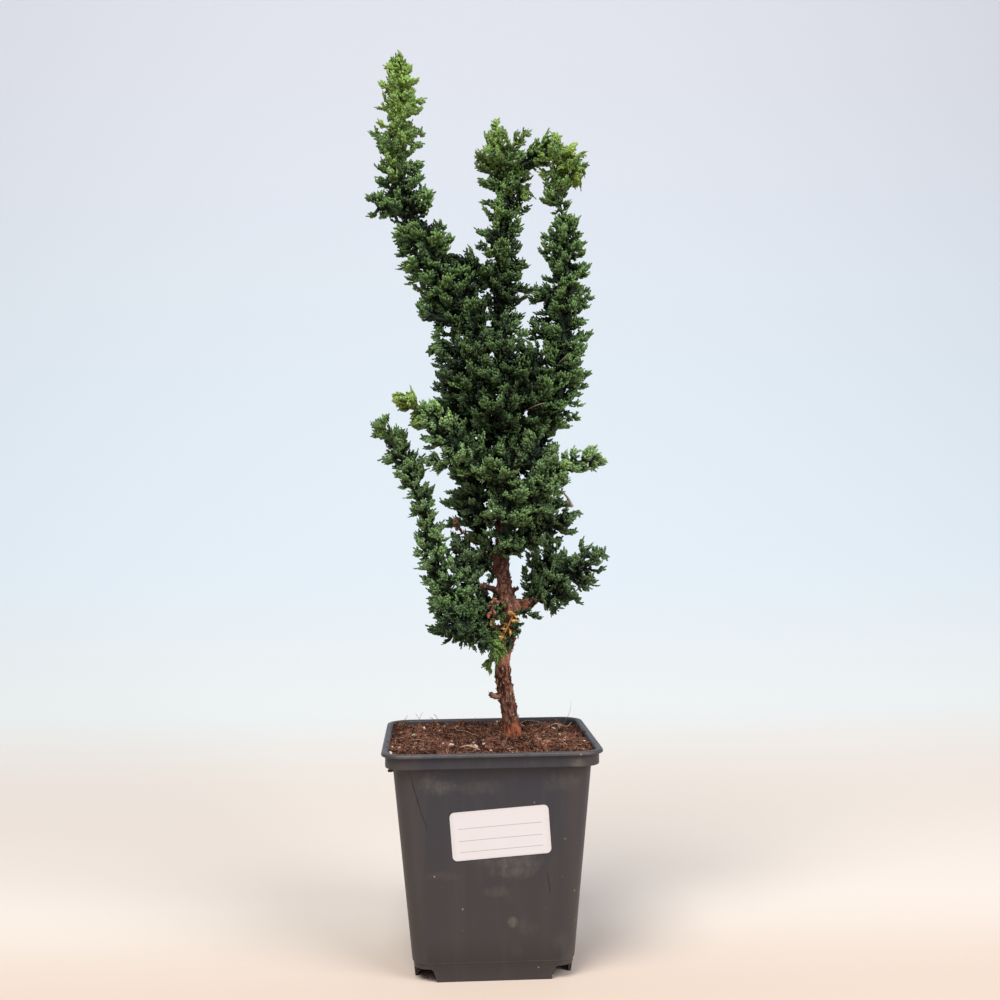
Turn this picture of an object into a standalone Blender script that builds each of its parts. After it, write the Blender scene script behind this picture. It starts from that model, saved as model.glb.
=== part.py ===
"""Hinoki cypress bonsai in a square nursery pot, at real size.

Metres, +Z up. The origin is the middle of the pot's underside, on the surface that it stands on.
+X is to the right of the labelled front wall and -Y is in front of it. Routes of wood and leafy stems
are lists of (x, y, z, r) in millimetres, where r is the wood's radius or the reach of the foliage.
"""

import math
import random

import bmesh
import bpy
import numpy as np
from mathutils import Matrix, Vector
from mathutils.bvhtree import BVHTree

MM = 0.001
GAP = 0.3 * MM
WELD = 0.001 * MM
GOLDEN_ANGLE = math.radians(137.508)

# Pot: outer half widths at the heights where its wall changes
POT_HEIGHT = 94.4 * MM
POT_LIP_HALF = 45.0 * MM
POT_LIP_DEPTH = 1.5 * MM
POT_LIP_CHAMFER = 0.5 * MM
POT_LIP_TOP_INSET = 0.6 * MM
POT_LIP_STEP = 0.8 * MM
POT_COLLAR_HALF = 43.4 * MM
POT_COLLAR_BOTTOM = 88.2 * MM
POT_BODY_TOP_HALF = 40.4 * MM
POT_BODY_LOW_HALF = 32.8 * MM
POT_SKIRT_TOP = 7.9 * MM
POT_SKIRT_INSET = 0.4 * MM
POT_WALL = 1.2 * MM
POT_FLOOR_TOP = 7.5 * MM
POT_FLOOR_THICK = 1.2 * MM
POT_CORNER_RADIUS = 6.8 * MM
POT_COLLAR_CORNER_RADIUS = 8.1 * MM
POT_LIP_CORNER_RADIUS = 9.6 * MM
POT_CORNER_STEPS = 5
POT_TAPER = (POT_BODY_TOP_HALF - POT_BODY_LOW_HALF) / (POT_COLLAR_BOTTOM - POT_SKIRT_TOP)
SKIRT_HALF_LENGTH = 23.3 * MM
SKIRT_NOTCH_HEIGHT = 5.5 * MM
SKIRT_NOTCH_ROUND = 1.2 * MM
SKIRT_NOTCH_SEGMENTS = 2
CUTTER_EXCESS = 4.0 * MM
DRAIN_RADIUS = 3.6 * MM
DRAIN_SIDES = 12
DRAIN_OFFSET = 21.5 * MM

# Label: its middle on the front wall, and how far it is turned
LABEL_WIDTH = 40.0 * MM
LABEL_HEIGHT = 20.0 * MM
LABEL_THICK = 0.3 * MM
LABEL_CORNER = 2.0 * MM
LABEL_CORNER_STEPS = 4
LABEL_X = 2.8 * MM
LABEL_Z = 61.3 * MM
LABEL_TURN = math.radians(3.9)

# Growing mix
SOIL_TOP = 92.6 * MM
SOIL_RINGS = 6
SOIL_CORNER_STEPS = 4
SOIL_SIDE_POINTS = 6
SOIL_GRAIN = 0.9 * MM
SOIL_MOUND = 1.2 * MM
SOIL_MOUND_WIDTH = 14.0 * MM
SOIL_WAVES = 0.5 * MM
SOIL_LOW_CORNER = 1.6 * MM
SOIL_LEAST_DEPTH = 1.0 * MM
TRUNK_SOCKET_DEPTH = 12.0 * MM

# Wood
TRUNK_FOOT = (10.5, 1.0)
TRUNK_ROUTE = [
    (10.5, 1, 81.5, 4.1), (10.5, 1, 88, 4.1), (10.5, 1, 94, 4.2), (9.9, 1, 99, 3.7), (8.6, 1, 107, 3.4),
    (7.2, 0.5, 115, 3.3), (6.3, 0, 122, 3.3), (6.8, 0, 130, 3.2), (7.9, 0, 141, 3.4), (8.8, 0, 151, 3.7),
    (8.2, 0.4, 160, 3.0), (7.2, 1, 168, 2.8), (7.3, 2, 178, 2.8), (8.2, 3, 196, 2.8), (9.4, 3, 209, 2.9),
]
LIMB_ROUTES = [
    [(9.4, 3, 206, 2.4), (8, 3, 219, 2.3), (5, 3, 233, 2.1), (1, 2, 249, 1.9), (-2, 1, 262, 1.7)],
    [(9.4, 3, 208, 2.3), (10, 5.5, 220, 2.1), (10, 8.5, 235, 1.9), (9, 10, 250, 1.8), (7.5, 9.5, 269, 1.6)],
    [(9, 3, 202, 2.2), (13, 2, 211, 2.1), (18, 0.6, 218, 1.9), (24, -0.8, 225.5, 1.8)],
    [(8.5, 0, 151, 3.2), (13, -0.6, 150.2, 3.3), (17, -1.2, 150.6, 2.5), (22, -2, 152.6, 1.8)],
    [(8.4, 0, 153, 1.7), (4, -0.6, 155, 1.4), (0, -1.4, 157.3, 1.2), (-3.5, -2, 158, 0.8)],
    [(8.0, -0.6, 138, 2.0), (3, -3, 140.5, 1.8), (-4, -5, 143.5, 1.5), (-10, -6.5, 146.5, 1.3)],
    [(6.4, 0.2, 112, 1.0), (3.4, -0.6, 110.6, 0.9), (1.6, -1.0, 111.6, 1.3), (0.8, -1.2, 112.8, 0.7)],
    [(8.6, -0.4, 155, 1.2), (12.4, -0.8, 157.2, 0.9), (14.2, -1.0, 157.4, 0.5)],
]
TRUNK_SIDES = 8
LIMB_SIDES = 6
TRUNK_STEP = 5.0 * MM
LIMB_STEP = 8.0 * MM
BARK_RELIEF = 0.09
BARK_BARE_FOOT = 2.0 * MM

# Foliage: name, what carries it, tone, number of fans, route
STEMS = [
    ("leader_left", "trunk", "mid", 18, [
        (-1.5, 1.2, 258, 3), (-4, 1, 264, 10), (-9, 0, 276, 13), (-17, -1, 292, 13), (-24, -2, 306, 12.5),
        (-31, -3, 320, 12), (-35, -3, 332, 11.5), (-37, -3, 342, 9), (-36.5, -2, 357, 11),
        (-36, -2, 370, 9), (-36, -2, 384, 8)]),
    ("leader_centre", "trunk", "mid", 13, [
        (7.5, 9.6, 265, 3), (7.5, 9.4, 271, 9), (9, 9, 283, 12), (9, 9, 298, 11), (8, 8, 311, 11),
        (10, 7, 326, 9), (9, 6, 340, 12.5), (7, 5, 351, 12)]),
    ("leader_right", "trunk", "mid", 18, [
        (22, -0.4, 223, 3), (26, -1.5, 228, 8), (32, -3, 241, 12.5), (34.5, -3, 260, 12.5),
        (34, -3, 283, 11), (36, -3, 293, 13), (35.5, -3, 303, 11), (34.5, -3, 311, 10), (33.5, -3, 321, 6),
        (33.5, -3, 330, 8), (34, -3, 339, 11), (33, -3, 347, 10)]),
    ("side_tuft_spray", "leader_left", "mid", 4, [
        (-37, -3, 322, 2), (-41.5, -4, 325, 4.5), (-45, -5, 329, 6), (-46, -5, 333, 5)]),
    ("arch_spray", "leader_centre", "young", 4, [
        (12, 6, 338, 2.5), (17, 5, 346, 5.5), (23, 3.5, 351, 7.5), (28.5, 2, 354, 6.5)]),
    ("right_tip_spray", "leader_right", "young", 3, [
        (36, -3.2, 335, 2), (40.5, -3.8, 342, 5), (44, -4.4, 341, 6), (45, -4.6, 333, 5)]),
    ("bridge_spray", "leader_centre", "dark", 3, [
        (9, 9, 292, 2.5), (1, 6, 298, 6), (-5, 3, 303, 7), (-11, 1, 304, 6)]),
    ("between_spray", "trunk", "dark", 6, [
        (0.5, 2, 251, 2), (-1, 7.5, 262, 9), (-4, 9, 274, 11), (-7, 8, 287, 11), (-7, 7, 297, 9)]),
    ("left_mid_spray", "trunk", "mid", 7, [
        (8, 2.6, 201, 2.4), (2, -7, 205, 7), (-6, -12, 212, 11.5), (-16, -15, 221, 11), (-25, -16, 230, 8.5),
        (-32, -18, 236, 7)]),
    ("low_left_column", "trunk", "mid", 12, [
        (-7, -6, 145, 2.4), (-14, -8, 150, 8), (-19, -9, 160, 9), (-23, -9, 173, 8), (-26, -9, 186, 7.5),
        (-30, -10, 200, 7.5), (-35, -11, 213, 8), (-42, -12, 223, 8)]),
    ("right_upper_spray", "trunk", "mid", 5, [
        (9, 2.4, 191, 2.2), (20, -3, 196, 7), (28, -6, 202, 8), (36, -7, 209, 7), (47, -8, 214, 6)]),
    ("right_twig_spray", "trunk", "dark", 5, [
        (8, 1.4, 177, 2.2), (17, -4, 179, 8), (26, -6.5, 184, 10), (33, -8, 187, 8)]),
    ("low_right_spray", "trunk", "dark", 8, [
        (20, -1.8, 151.8, 2.4), (26, -3, 155, 10), (33, -4, 160, 13.5), (40, -5, 164, 12), (44, -6, 167, 9)]),
    ("low_right_back_spray", "trunk", "mid", 5, [
        (16, -1, 150.6, 2.2), (20, 5, 156, 8), (23, 10, 164, 11), (25, 13, 172, 9)]),
    ("low_left_spray_1", "trunk", "mid", 5, [
        (-2, -4.6, 142.8, 2), (-5, -10, 141, 8), (-12, -15, 142, 10), (-19, -18, 145, 8)]),
    ("low_left_spray_2", "trunk", "dark", 4, [
        (-7, -5.8, 145, 2), (-9, -3, 138.5, 7), (-14, -2, 134.5, 9), (-19, -1, 135, 8)]),
    ("low_left_spray_3", "trunk", "dark", 4, [
        (-3, -4.8, 143.2, 2), (-6, 3, 145, 8), (-12, 8, 149, 10), (-18, 11, 154, 8)]),
    ("left_inner_spray", "trunk", "dark", 5, [
        (-2.5, -1.8, 157.8, 1.6), (-6, -2.4, 159, 7), (-10, -1, 165, 10), (-11, 1, 173, 9)]),
    ("front_droop_spray", "trunk", "mid", 3, [
        (7.4, -0.4, 137, 1.6), (4.5, -6, 137, 4), (2, -9, 133.5, 6), (0.6, -10, 129.5, 5)]),
    ("dead_spray_yellow", "trunk", "yellow", 3, [
        (10, -1, 146.5, 1.4), (8.5, -6, 145.5, 2.4), (7.8, -7.5, 142, 3.2), (7.2, -8.2, 138.5, 2.6)]),
    ("dead_spray_red", "trunk", "red", 3, [
        (7.6, -1, 152.5, 1.4), (4.5, -6, 152, 2.4), (2.5, -8, 150.5, 3), (1, -9.5, 148.5, 2.4)]),
    ("dead_spray_brown", "trunk", "brown", 3, [
        (7.2, 1.2, 169, 1.4), (-1, 1, 174, 2.4), (-7, -1, 179, 3), (-14, -2, 182, 3)]),
]
DRY_TONES = ("yellow", "red", "brown")

# Crown: sprays that leave trunk and limbs all round, bend and climb. Each has its azimuth in degrees,
# foot and top heights, distance from the crown's middle and reach in mm
CROWN_SPRAYS = [
    (-88, 170, 214, 14, 12), (-50, 184, 218, 19, 12), (20, 172, 222, 17, 13), (80, 176, 222, 15, 13),
    (140, 171, 216, 16, 13), (200, 184, 209, 13, 11),
    (-90, 214, 268, 13, 13), (-130, 219, 262, 15, 12), (-158, 224, 258, 19, 12), (172, 213, 246, 19, 12),
    (125, 210, 256, 17, 13), (72, 214, 264, 16, 13), (22, 216, 260, 16, 13), (-34, 218, 256, 17, 12),
]
CROWN_FANS = 6
CROWN_MIDDLE = (7.5, 2.0)
# Shares of a crown spray's distance, height and reach, along its route
CROWN_BEND = [(0.62, 0.16, 0.62), (0.95, 0.4, 1), (1.04, 0.7, 1), (1.0, 1, 0.75)]
CROWN_FOOT_SHARE = 0.2

# Leafy core: a knobby stem whose side faces are raised to uneven tufts that lean along it
ROUTE_STEP = 1.0 * MM
CORE_STEP = 6.0 * MM
CORE_SIDES = 6
CORE_SHARE = 0.37
CORE_KNOBS = (-0.2, 0.25)
CORE_SLIDE = 0.6
TUFT_SHARE = 0.85
TUFT_REACH = (0.55, 1.0)
TUFT_LEAN = (-0.15, 0.6)
SLIMMEST = 0.4
GREEN_BASE = 0.8 * MM
DRY_BASE = 0.5 * MM

# Fans: cupped twigs with pointed fingers, ridged from the middle to each finger's tip
FAN_FIRST = 0.08
FAN_LAST = 0.97
FAN_TURN_DRAW = 0.3
FAN_SIZE_DRAW = (0.95, 1.2)
TIP_FANS = 2
TIP_FAN_LIFT = 58
FAN_LIFTS = (20, 55)
FAN_ROLL = 30
FAN_LONGEST = 12.5 * MM
FAN_SHORTEST = 5.0 * MM
FAN_SPREAD = math.radians(100)
FAN_MIDDLE = 0.46
FAN_TIP = 0.6
FAN_NOTCH = 0.33
FAN_UNEVEN = 0.1
FAN_THICK = 0.2
FAN_CUP = 0.2
FAN_CLEARANCE = 0.3 * MM
FAN_ROOT_DEPTH = 1.5 * MM
FAN_BED = 3.2 * MM
WIDE_FAN = 11.0 * MM
SMALL_FAN = 6.0 * MM
CROWN_FACING = 1.9
# Ways to bend a fan clear: turn round the stem, lift along it, size
FAN_TRIES = [
    (0, 0, 1), (0.35, 0, 1), (-0.35, 0, 1), (0, 0.3, 0.95), (0.6, 0.1, 0.9), (-0.6, 0.1, 0.9),
    (0.9, 0.2, 0.8), (-0.9, 0.2, 0.8), (0, 0.4, 0.7), (1.6, 0.2, 0.8), (-1.6, 0.2, 0.8),
]

TONES = {
    "dark": ((0.020, 0.040, 0.014), 0.6),
    "mid": ((0.036, 0.075, 0.022), 0.55),
    "young": ((0.085, 0.150, 0.026), 0.55),
    "yellow": ((0.420, 0.230, 0.040), 0.8),
    "red": ((0.230, 0.065, 0.035), 0.85),
    "brown": ((0.130, 0.050, 0.028), 0.85),
}

for old in list(bpy.data.objects):
    bpy.data.objects.remove(old)

model = bpy.data.collections.new("hinoki_bonsai")
cutters = bpy.data.collections.new("cutters")
bpy.context.scene.collection.children.link(model)
bpy.context.scene.collection.children.link(cutters)


def make_material(name, colour, roughness):
    material = bpy.data.materials.new(name)
    material.use_nodes = True
    shader = material.node_tree.nodes["Principled BSDF"]
    shader.inputs["Base Color"].default_value = (*colour, 1)
    shader.inputs["Roughness"].default_value = roughness
    return material


def add_object(name, mesh, collection, material=None):
    obj = bpy.data.objects.new(name, mesh)
    collection.objects.link(obj)
    if material:
        mesh.materials.clear()
        mesh.materials.append(material)
    return obj


def evaluated_mesh(obj):
    bpy.context.view_layer.update()
    graph = bpy.context.evaluated_depsgraph_get()
    return bpy.data.meshes.new_from_object(obj.evaluated_get(graph))


def mesh_from(bm, name):
    mesh = bpy.data.meshes.new(name)
    bm.to_mesh(mesh)
    bm.free()
    return mesh


def largest_body(mesh):
    """Drops loose scraps and the walls of sealed hollows, so that one closed body is left."""
    bm = bmesh.new()
    bm.from_mesh(mesh)
    bmesh.ops.triangulate(bm, faces=bm.faces)
    unseen = set(bm.faces)
    bodies = []
    while unseen:
        stack = [unseen.pop()]
        body = []
        while stack:
            face = stack.pop()
            body.append(face)
            for edge in face.edges:
                for other in edge.link_faces:
                    if other in unseen:
                        unseen.remove(other)
                        stack.append(other)
        corners = [[v.co for v in face.verts] for face in body]
        volume = sum(a.dot(b.cross(c)) for a, b, c in corners)
        bodies.append((volume, body))
    bodies.sort(key=lambda pair: pair[0])
    for _, body in bodies[:-1]:
        bmesh.ops.delete(bm, geom=body, context="FACES")
    bm.to_mesh(mesh)
    bm.free()


def fuse(obj, pieces, solver):
    """Joins the pieces to the object by one Boolean union, which is applied, and removes them."""
    group = bpy.data.collections.new(obj.name + "_pieces")
    bpy.context.scene.collection.children.link(group)
    for number, mesh in enumerate(pieces):
        add_object(f"{obj.name}_piece_{number}", mesh, group)
    union = obj.modifiers.new("union", "BOOLEAN")
    union.operation = "UNION"
    union.operand_type = "COLLECTION"
    union.collection = group
    union.solver = solver
    joined = evaluated_mesh(obj)
    obj.modifiers.remove(union)
    material = obj.data.materials[0]
    obj.data = joined
    joined.materials.clear()
    joined.materials.append(material)
    for piece in list(group.objects):
        bpy.data.objects.remove(piece)
    bpy.data.collections.remove(group)
    largest_body(obj.data)


def loft(rings, name):
    """A closed body through rings of equal count, with flat ends."""
    bm = bmesh.new()
    rows = [[bm.verts.new(point) for point in ring] for ring in rings]
    for low, high in zip(rows, rows[1:]):
        count = len(low)
        for i in range(count):
            j = (i + 1) % count
            bm.faces.new((low[i], low[j], high[j], high[i]))
    bm.faces.new(list(reversed(rows[0])))
    bm.faces.new(rows[-1])
    return mesh_from(bm, name)


def rounded_square(half, radius, z, steps=POT_CORNER_STEPS, side_points=0):
    """Points of a square with round corners, anticlockwise from the right-hand back corner's start."""
    points = []
    for corner in range(4):
        turn = corner * math.pi / 2
        quarter = Matrix.Rotation(turn, 3, "Z")
        middle = quarter @ Vector((half - radius, half - radius, z))
        for step in range(steps):
            angle = turn + step / (steps - 1) * math.pi / 2
            points.append(middle + Vector((math.cos(angle), math.sin(angle), 0)) * radius)
        for number in range(side_points):
            along = (half - radius) * (1 - 2 * (number + 1) / (side_points + 1))
            points.append(quarter @ Vector((along, half, z)))
    return points


def body_half(z):
    """Outer half width of the pot's tapered body at a height."""
    return POT_BODY_LOW_HALF + (z - POT_SKIRT_TOP) * POT_TAPER


def make_pot():
    skirt_top = POT_BODY_LOW_HALF - POT_SKIRT_INSET
    skirt_low = skirt_top - POT_SKIRT_TOP * POT_TAPER
    lip_under = POT_HEIGHT - POT_LIP_DEPTH
    ledge = POT_COLLAR_BOTTOM + POT_WALL
    floor_under = POT_FLOOR_TOP - POT_FLOOR_THICK
    profile = [
        (skirt_low - POT_WALL, floor_under, 0),
        (skirt_low - POT_WALL, 0, 0),
        (skirt_low, 0, 0),
        (skirt_top, POT_SKIRT_TOP, 0),
        (POT_BODY_LOW_HALF, POT_SKIRT_TOP, 0),
        (POT_BODY_TOP_HALF, POT_COLLAR_BOTTOM, 0),
        (POT_COLLAR_HALF, POT_COLLAR_BOTTOM, 1),
        (POT_COLLAR_HALF, lip_under, 1),
        (POT_LIP_HALF, lip_under, 2),
        (POT_LIP_HALF, POT_HEIGHT - POT_LIP_CHAMFER, 2),
        (POT_LIP_HALF - POT_LIP_CHAMFER, POT_HEIGHT, 2),
        (POT_COLLAR_HALF - POT_LIP_TOP_INSET, POT_HEIGHT, 1),
        (POT_COLLAR_HALF - POT_WALL, POT_HEIGHT - POT_LIP_STEP, 1),
        (POT_COLLAR_HALF - POT_WALL, ledge, 1),
        (body_half(ledge) - POT_WALL, ledge, 0),
        (body_half(POT_FLOOR_TOP) - POT_WALL, POT_FLOOR_TOP, 0),
    ]
    radii = (POT_CORNER_RADIUS, POT_COLLAR_CORNER_RADIUS, POT_LIP_CORNER_RADIUS)
    rings = [rounded_square(half, radii[kind], z) for half, z, kind in profile]
    plastic = make_material("pot_plastic", (0.060, 0.058, 0.062), 0.45)
    pot = add_object("pot", loft(rings, "pot"), model, plastic)
    for corner in range(4):
        turn = Matrix.Rotation(corner * math.pi / 2, 4, "Z")
        reach = POT_BODY_LOW_HALF + CUTTER_EXCESS
        middle = (reach + SKIRT_HALF_LENGTH) / 2
        corner_block = turn @ Matrix.Translation((middle, middle, 0))
        cut(pot, notch_mesh(reach - SKIRT_HALF_LENGTH), corner_block, "notch")
        drain = turn @ Matrix.Translation((DRAIN_OFFSET, DRAIN_OFFSET, POT_FLOOR_TOP - POT_FLOOR_THICK / 2))
        cut(pot, drain_mesh(), drain, "drain")
    smooth(pot, 35)


def notch_mesh(width):
    """Block that cuts one corner of the skirt away, with a round upper edge."""
    bm = bmesh.new()
    bmesh.ops.create_cube(bm, size=2 * SKIRT_NOTCH_HEIGHT)
    stretch = width / (2 * SKIRT_NOTCH_HEIGHT)
    bmesh.ops.scale(bm, vec=(stretch, stretch, 1), verts=bm.verts)
    upper = [edge for edge in bm.edges if all(v.co.z > 0 for v in edge.verts)]
    bmesh.ops.bevel(
        bm, geom=upper, offset=SKIRT_NOTCH_ROUND, segments=SKIRT_NOTCH_SEGMENTS, affect="EDGES", profile=0.5)
    return mesh_from(bm, "notch")


def drain_mesh():
    bm = bmesh.new()
    bmesh.ops.create_cone(
        bm, cap_ends=True, segments=DRAIN_SIDES, radius1=DRAIN_RADIUS, radius2=DRAIN_RADIUS,
        depth=POT_FLOOR_THICK + CUTTER_EXCESS)
    return mesh_from(bm, "drain")


def cut(obj, mesh, place, name):
    """A cutter, hidden, and the Boolean difference that it makes."""
    cutter = add_object(name, mesh, cutters)
    cutter.matrix_world = place
    cutter.hide_render = True
    cutter.display_type = "WIRE"
    difference = obj.modifiers.new(name, "BOOLEAN")
    difference.operation = "DIFFERENCE"
    difference.object = cutter
    difference.solver = "EXACT"


def smooth(obj, degrees):
    obj.data.shade_smooth()
    obj.data.set_sharp_from_angle(angle=math.radians(degrees))


def soil_outline(half, radius, z):
    return rounded_square(half, radius, z, SOIL_CORNER_STEPS, SOIL_SIDE_POINTS)


def make_soil():
    """Fills the pot up to the collar. The rings of its top run from the trunk's hole to the wall."""
    grains = random.Random(7)
    foot = Vector((TRUNK_FOOT[0] * MM, TRUNK_FOOT[1] * MM, 0))
    ledge = POT_COLLAR_BOTTOM + POT_WALL + GAP
    edge_half = POT_COLLAR_HALF - POT_WALL - GAP
    neck_half = body_half(ledge) - POT_WALL - 2 * GAP
    low_half = body_half(POT_FLOOR_TOP) - POT_WALL - GAP
    edge = soil_outline(edge_half, POT_COLLAR_CORNER_RADIUS, 0)
    socket_radius = TRUNK_ROUTE[2][3] * MM + 1.5 * GAP

    def around(radius, z):
        ring = []
        for point in edge:
            out = (point - foot).normalized()
            ring.append(Vector((foot.x + out.x * radius, foot.y + out.y * radius, z)))
        return ring

    def surface_height(point):
        low_corner = max(0, point.x / edge_half) * max(0, point.y / edge_half)
        mound = SOIL_MOUND * math.exp(-((point - foot).length / SOIL_MOUND_WIDTH) ** 2)
        waves = SOIL_WAVES * math.sin(point.x * 210) * math.cos(point.y * 180 + 1)
        return SOIL_TOP + mound + waves - SOIL_LOW_CORNER * low_corner

    rings = [
        soil_outline(low_half, POT_CORNER_RADIUS, POT_FLOOR_TOP + GAP),
        soil_outline(neck_half, POT_CORNER_RADIUS, ledge),
        soil_outline(edge_half, POT_COLLAR_CORNER_RADIUS, ledge),
    ]
    for number in range(SOIL_RINGS, -1, -1):
        share = number / SOIL_RINGS
        ring = []
        for inner, outer in zip(around(socket_radius, 0), edge):
            point = inner.lerp(outer, share)
            grain = grains.uniform(-SOIL_GRAIN, SOIL_GRAIN) if 0 < number < SOIL_RINGS else 0
            point.z = max(surface_height(Vector((point.x, point.y, 0))) + grain, ledge + SOIL_LEAST_DEPTH)
            ring.append(point)
        rings.append(ring)
    rings.append(around(socket_radius, SOIL_TOP - TRUNK_SOCKET_DEPTH))
    mix = make_material("soil_mix", (0.115, 0.052, 0.034), 0.95)
    soil = add_object("soil", loft(rings, "soil"), model, mix)
    triangulate(soil.data)


def triangulate(mesh):
    bm = bmesh.new()
    bm.from_mesh(mesh)
    bmesh.ops.triangulate(bm, faces=bm.faces)
    bm.to_mesh(mesh)
    bm.free()


def make_label():
    outline = bpy.data.curves.new("label_outline", "CURVE")
    outline.dimensions = "2D"
    outline.fill_mode = "BOTH"
    outline.extrude = LABEL_THICK / 2
    spline = outline.splines.new("POLY")
    corners = []
    for corner in range(4):
        turn = corner * math.pi / 2
        signs = ((1, 1), (-1, 1), (-1, -1), (1, -1))[corner]
        middle = Vector((
            signs[0] * (LABEL_WIDTH / 2 - LABEL_CORNER), signs[1] * (LABEL_HEIGHT / 2 - LABEL_CORNER)))
        for step in range(LABEL_CORNER_STEPS):
            angle = turn + step / (LABEL_CORNER_STEPS - 1) * math.pi / 2
            corners.append(middle + LABEL_CORNER * Vector((math.cos(angle), math.sin(angle))))
    spline.points.add(len(corners) - 1)
    for point, corner in zip(spline.points, corners):
        point.co = (corner.x, corner.y, 0, 1)
    spline.use_cyclic_u = True
    label = bpy.data.objects.new("label", outline)
    model.objects.link(label)
    outline.materials.append(make_material("label_paper", (0.80, 0.80, 0.80), 0.6))
    lean = math.atan(POT_TAPER)
    wall = Vector((LABEL_X, -body_half(LABEL_Z), LABEL_Z))
    out = Vector((0, -math.cos(lean), -math.sin(lean)))
    stand_off = GAP + LABEL_THICK / 2
    turn = Matrix.Rotation(math.pi / 2 + lean, 4, "X") @ Matrix.Rotation(LABEL_TURN, 4, "Z")
    label.matrix_world = Matrix.Translation(wall + out * stand_off) @ turn


def route_samples(route, step):
    """Smooth route through (x, y, z, r) points in mm: centres and radii in metres, a step apart."""
    points = [Vector(p) * MM for p in route]
    points = [2 * points[0] - points[1]] + points + [2 * points[-1] - points[-2]]
    fine = []
    for a, b, c, d in zip(points, points[1:], points[2:], points[3:]):
        for i in range(10):
            t = i / 10
            fine.append(0.5 * (
                2 * b + (c - a) * t + (2 * a - 5 * b + 4 * c - d) * t * t
                + (3 * b - a - 3 * c + d) * t ** 3))
    fine.append(points[-2])
    lengths = [0.0]
    for a, b in zip(fine, fine[1:]):
        lengths.append(lengths[-1] + (b - a).xyz.length)
    count = max(3, round(lengths[-1] / step) + 1)
    samples = []
    k = 0
    for i in range(count):
        wanted = lengths[-1] * i / (count - 1)
        while k < len(fine) - 2 and lengths[k + 1] < wanted:
            k += 1
        span = lengths[k + 1] - lengths[k]
        share = (wanted - lengths[k]) / span if span else 0
        samples.append(fine[k].lerp(fine[k + 1], share))
    return samples


def tube(samples, sides, name, turn=0):
    """A round stem through (x, y, z, radius) samples, as a bevelled curve made into a mesh."""
    curve = bpy.data.curves.new(name, "CURVE")
    curve.dimensions = "3D"
    curve.bevel_depth = 1
    curve.bevel_resolution = (sides - 4) // 2
    curve.use_fill_caps = True
    spline = curve.splines.new("POLY")
    spline.points.add(len(samples) - 1)
    for number, (point, sample) in enumerate(zip(spline.points, samples)):
        point.co = (*sample.xyz, 1)
        point.radius = sample.w
        point.tilt = number * turn
    guide = bpy.data.objects.new(name, curve)
    model.objects.link(guide)
    mesh = evaluated_mesh(guide)
    bpy.data.objects.remove(guide)
    bm = bmesh.new()
    bm.from_mesh(mesh)
    bmesh.ops.remove_doubles(bm, verts=bm.verts, dist=WELD)
    bmesh.ops.recalc_face_normals(bm, faces=bm.faces)
    bm.to_mesh(mesh)
    bm.free()
    return mesh


def raise_bark(mesh, samples):
    """Ridges and flakes of bark, raised from the stem's surface above the growing mix."""
    start = SOIL_TOP + BARK_BARE_FOOT
    for vertex in mesh.vertices:
        nearest = min(samples, key=lambda s: (s.xyz - vertex.co).length)
        out = vertex.co - nearest.xyz
        if vertex.co.z < start or out.length < 0.5 * nearest.w:
            continue
        angle = math.atan2(out.y, out.x)
        ridges = math.sin(4 * angle + vertex.co.z * 160) + 0.8 * math.sin(7 * angle - vertex.co.z * 420)
        flakes = math.sin(vertex.co.z * 1150 + 3 * angle)
        vertex.co = nearest.xyz + out * (1 + BARK_RELIEF * (0.6 * ridges + 0.5 * flakes))


def make_trunk():
    samples = route_samples(TRUNK_ROUTE, TRUNK_STEP)
    wood = tube(samples, TRUNK_SIDES, "trunk")
    raise_bark(wood, samples)
    trunk = add_object("trunk", wood, model, make_material("bark", (0.120, 0.052, 0.036), 0.9))
    limbs = [
        tube(route_samples(route, LIMB_STEP if number < 3 else LIMB_STEP / 2), LIMB_SIDES, f"limb_{number}")
        for number, route in enumerate(LIMB_ROUTES)]
    fuse(trunk, limbs, "EXACT")
    trunk.data.shade_flat()
    return trunk


def tree_of(mesh, place=None):
    """Search tree of a mesh's surface."""
    bm = bmesh.new()
    bm.from_mesh(mesh)
    if place:
        bm.transform(place)
    found = BVHTree.FromBMesh(bm)
    bm.free()
    return found


def frame_at(samples, k):
    """Centre, tangent and two cross directions of a stem at a sample."""
    ahead = samples[min(k + 1, len(samples) - 1)].xyz
    behind = samples[max(k - 1, 0)].xyz
    along = (ahead - behind).normalized()
    side = along.cross(Vector((0.31, -0.9, 0.2))).normalized()
    return samples[k].xyz, along, side, along.cross(side)


def seated(samples, carrier, base_radius):
    """The samples from where the stem's round foot stands just clear of its carrier's surface."""
    last = 0
    for k in range(len(samples) * 3 // 4):
        centre, along, side, across = frame_at(samples, k)
        foot = [centre]
        for step in range(6):
            angle = step * math.pi / 3
            foot.append(centre + (side * math.cos(angle) + across * math.sin(angle)) * base_radius)
        close = min(carrier.find_nearest(point)[3] for point in foot)
        surface, normal, _, _ = carrier.ray_cast(centre, along)
        inside = surface is not None and normal.dot(along) > 0
        if close < GAP or inside:
            last = k
    return samples[last + 1:]


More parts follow.
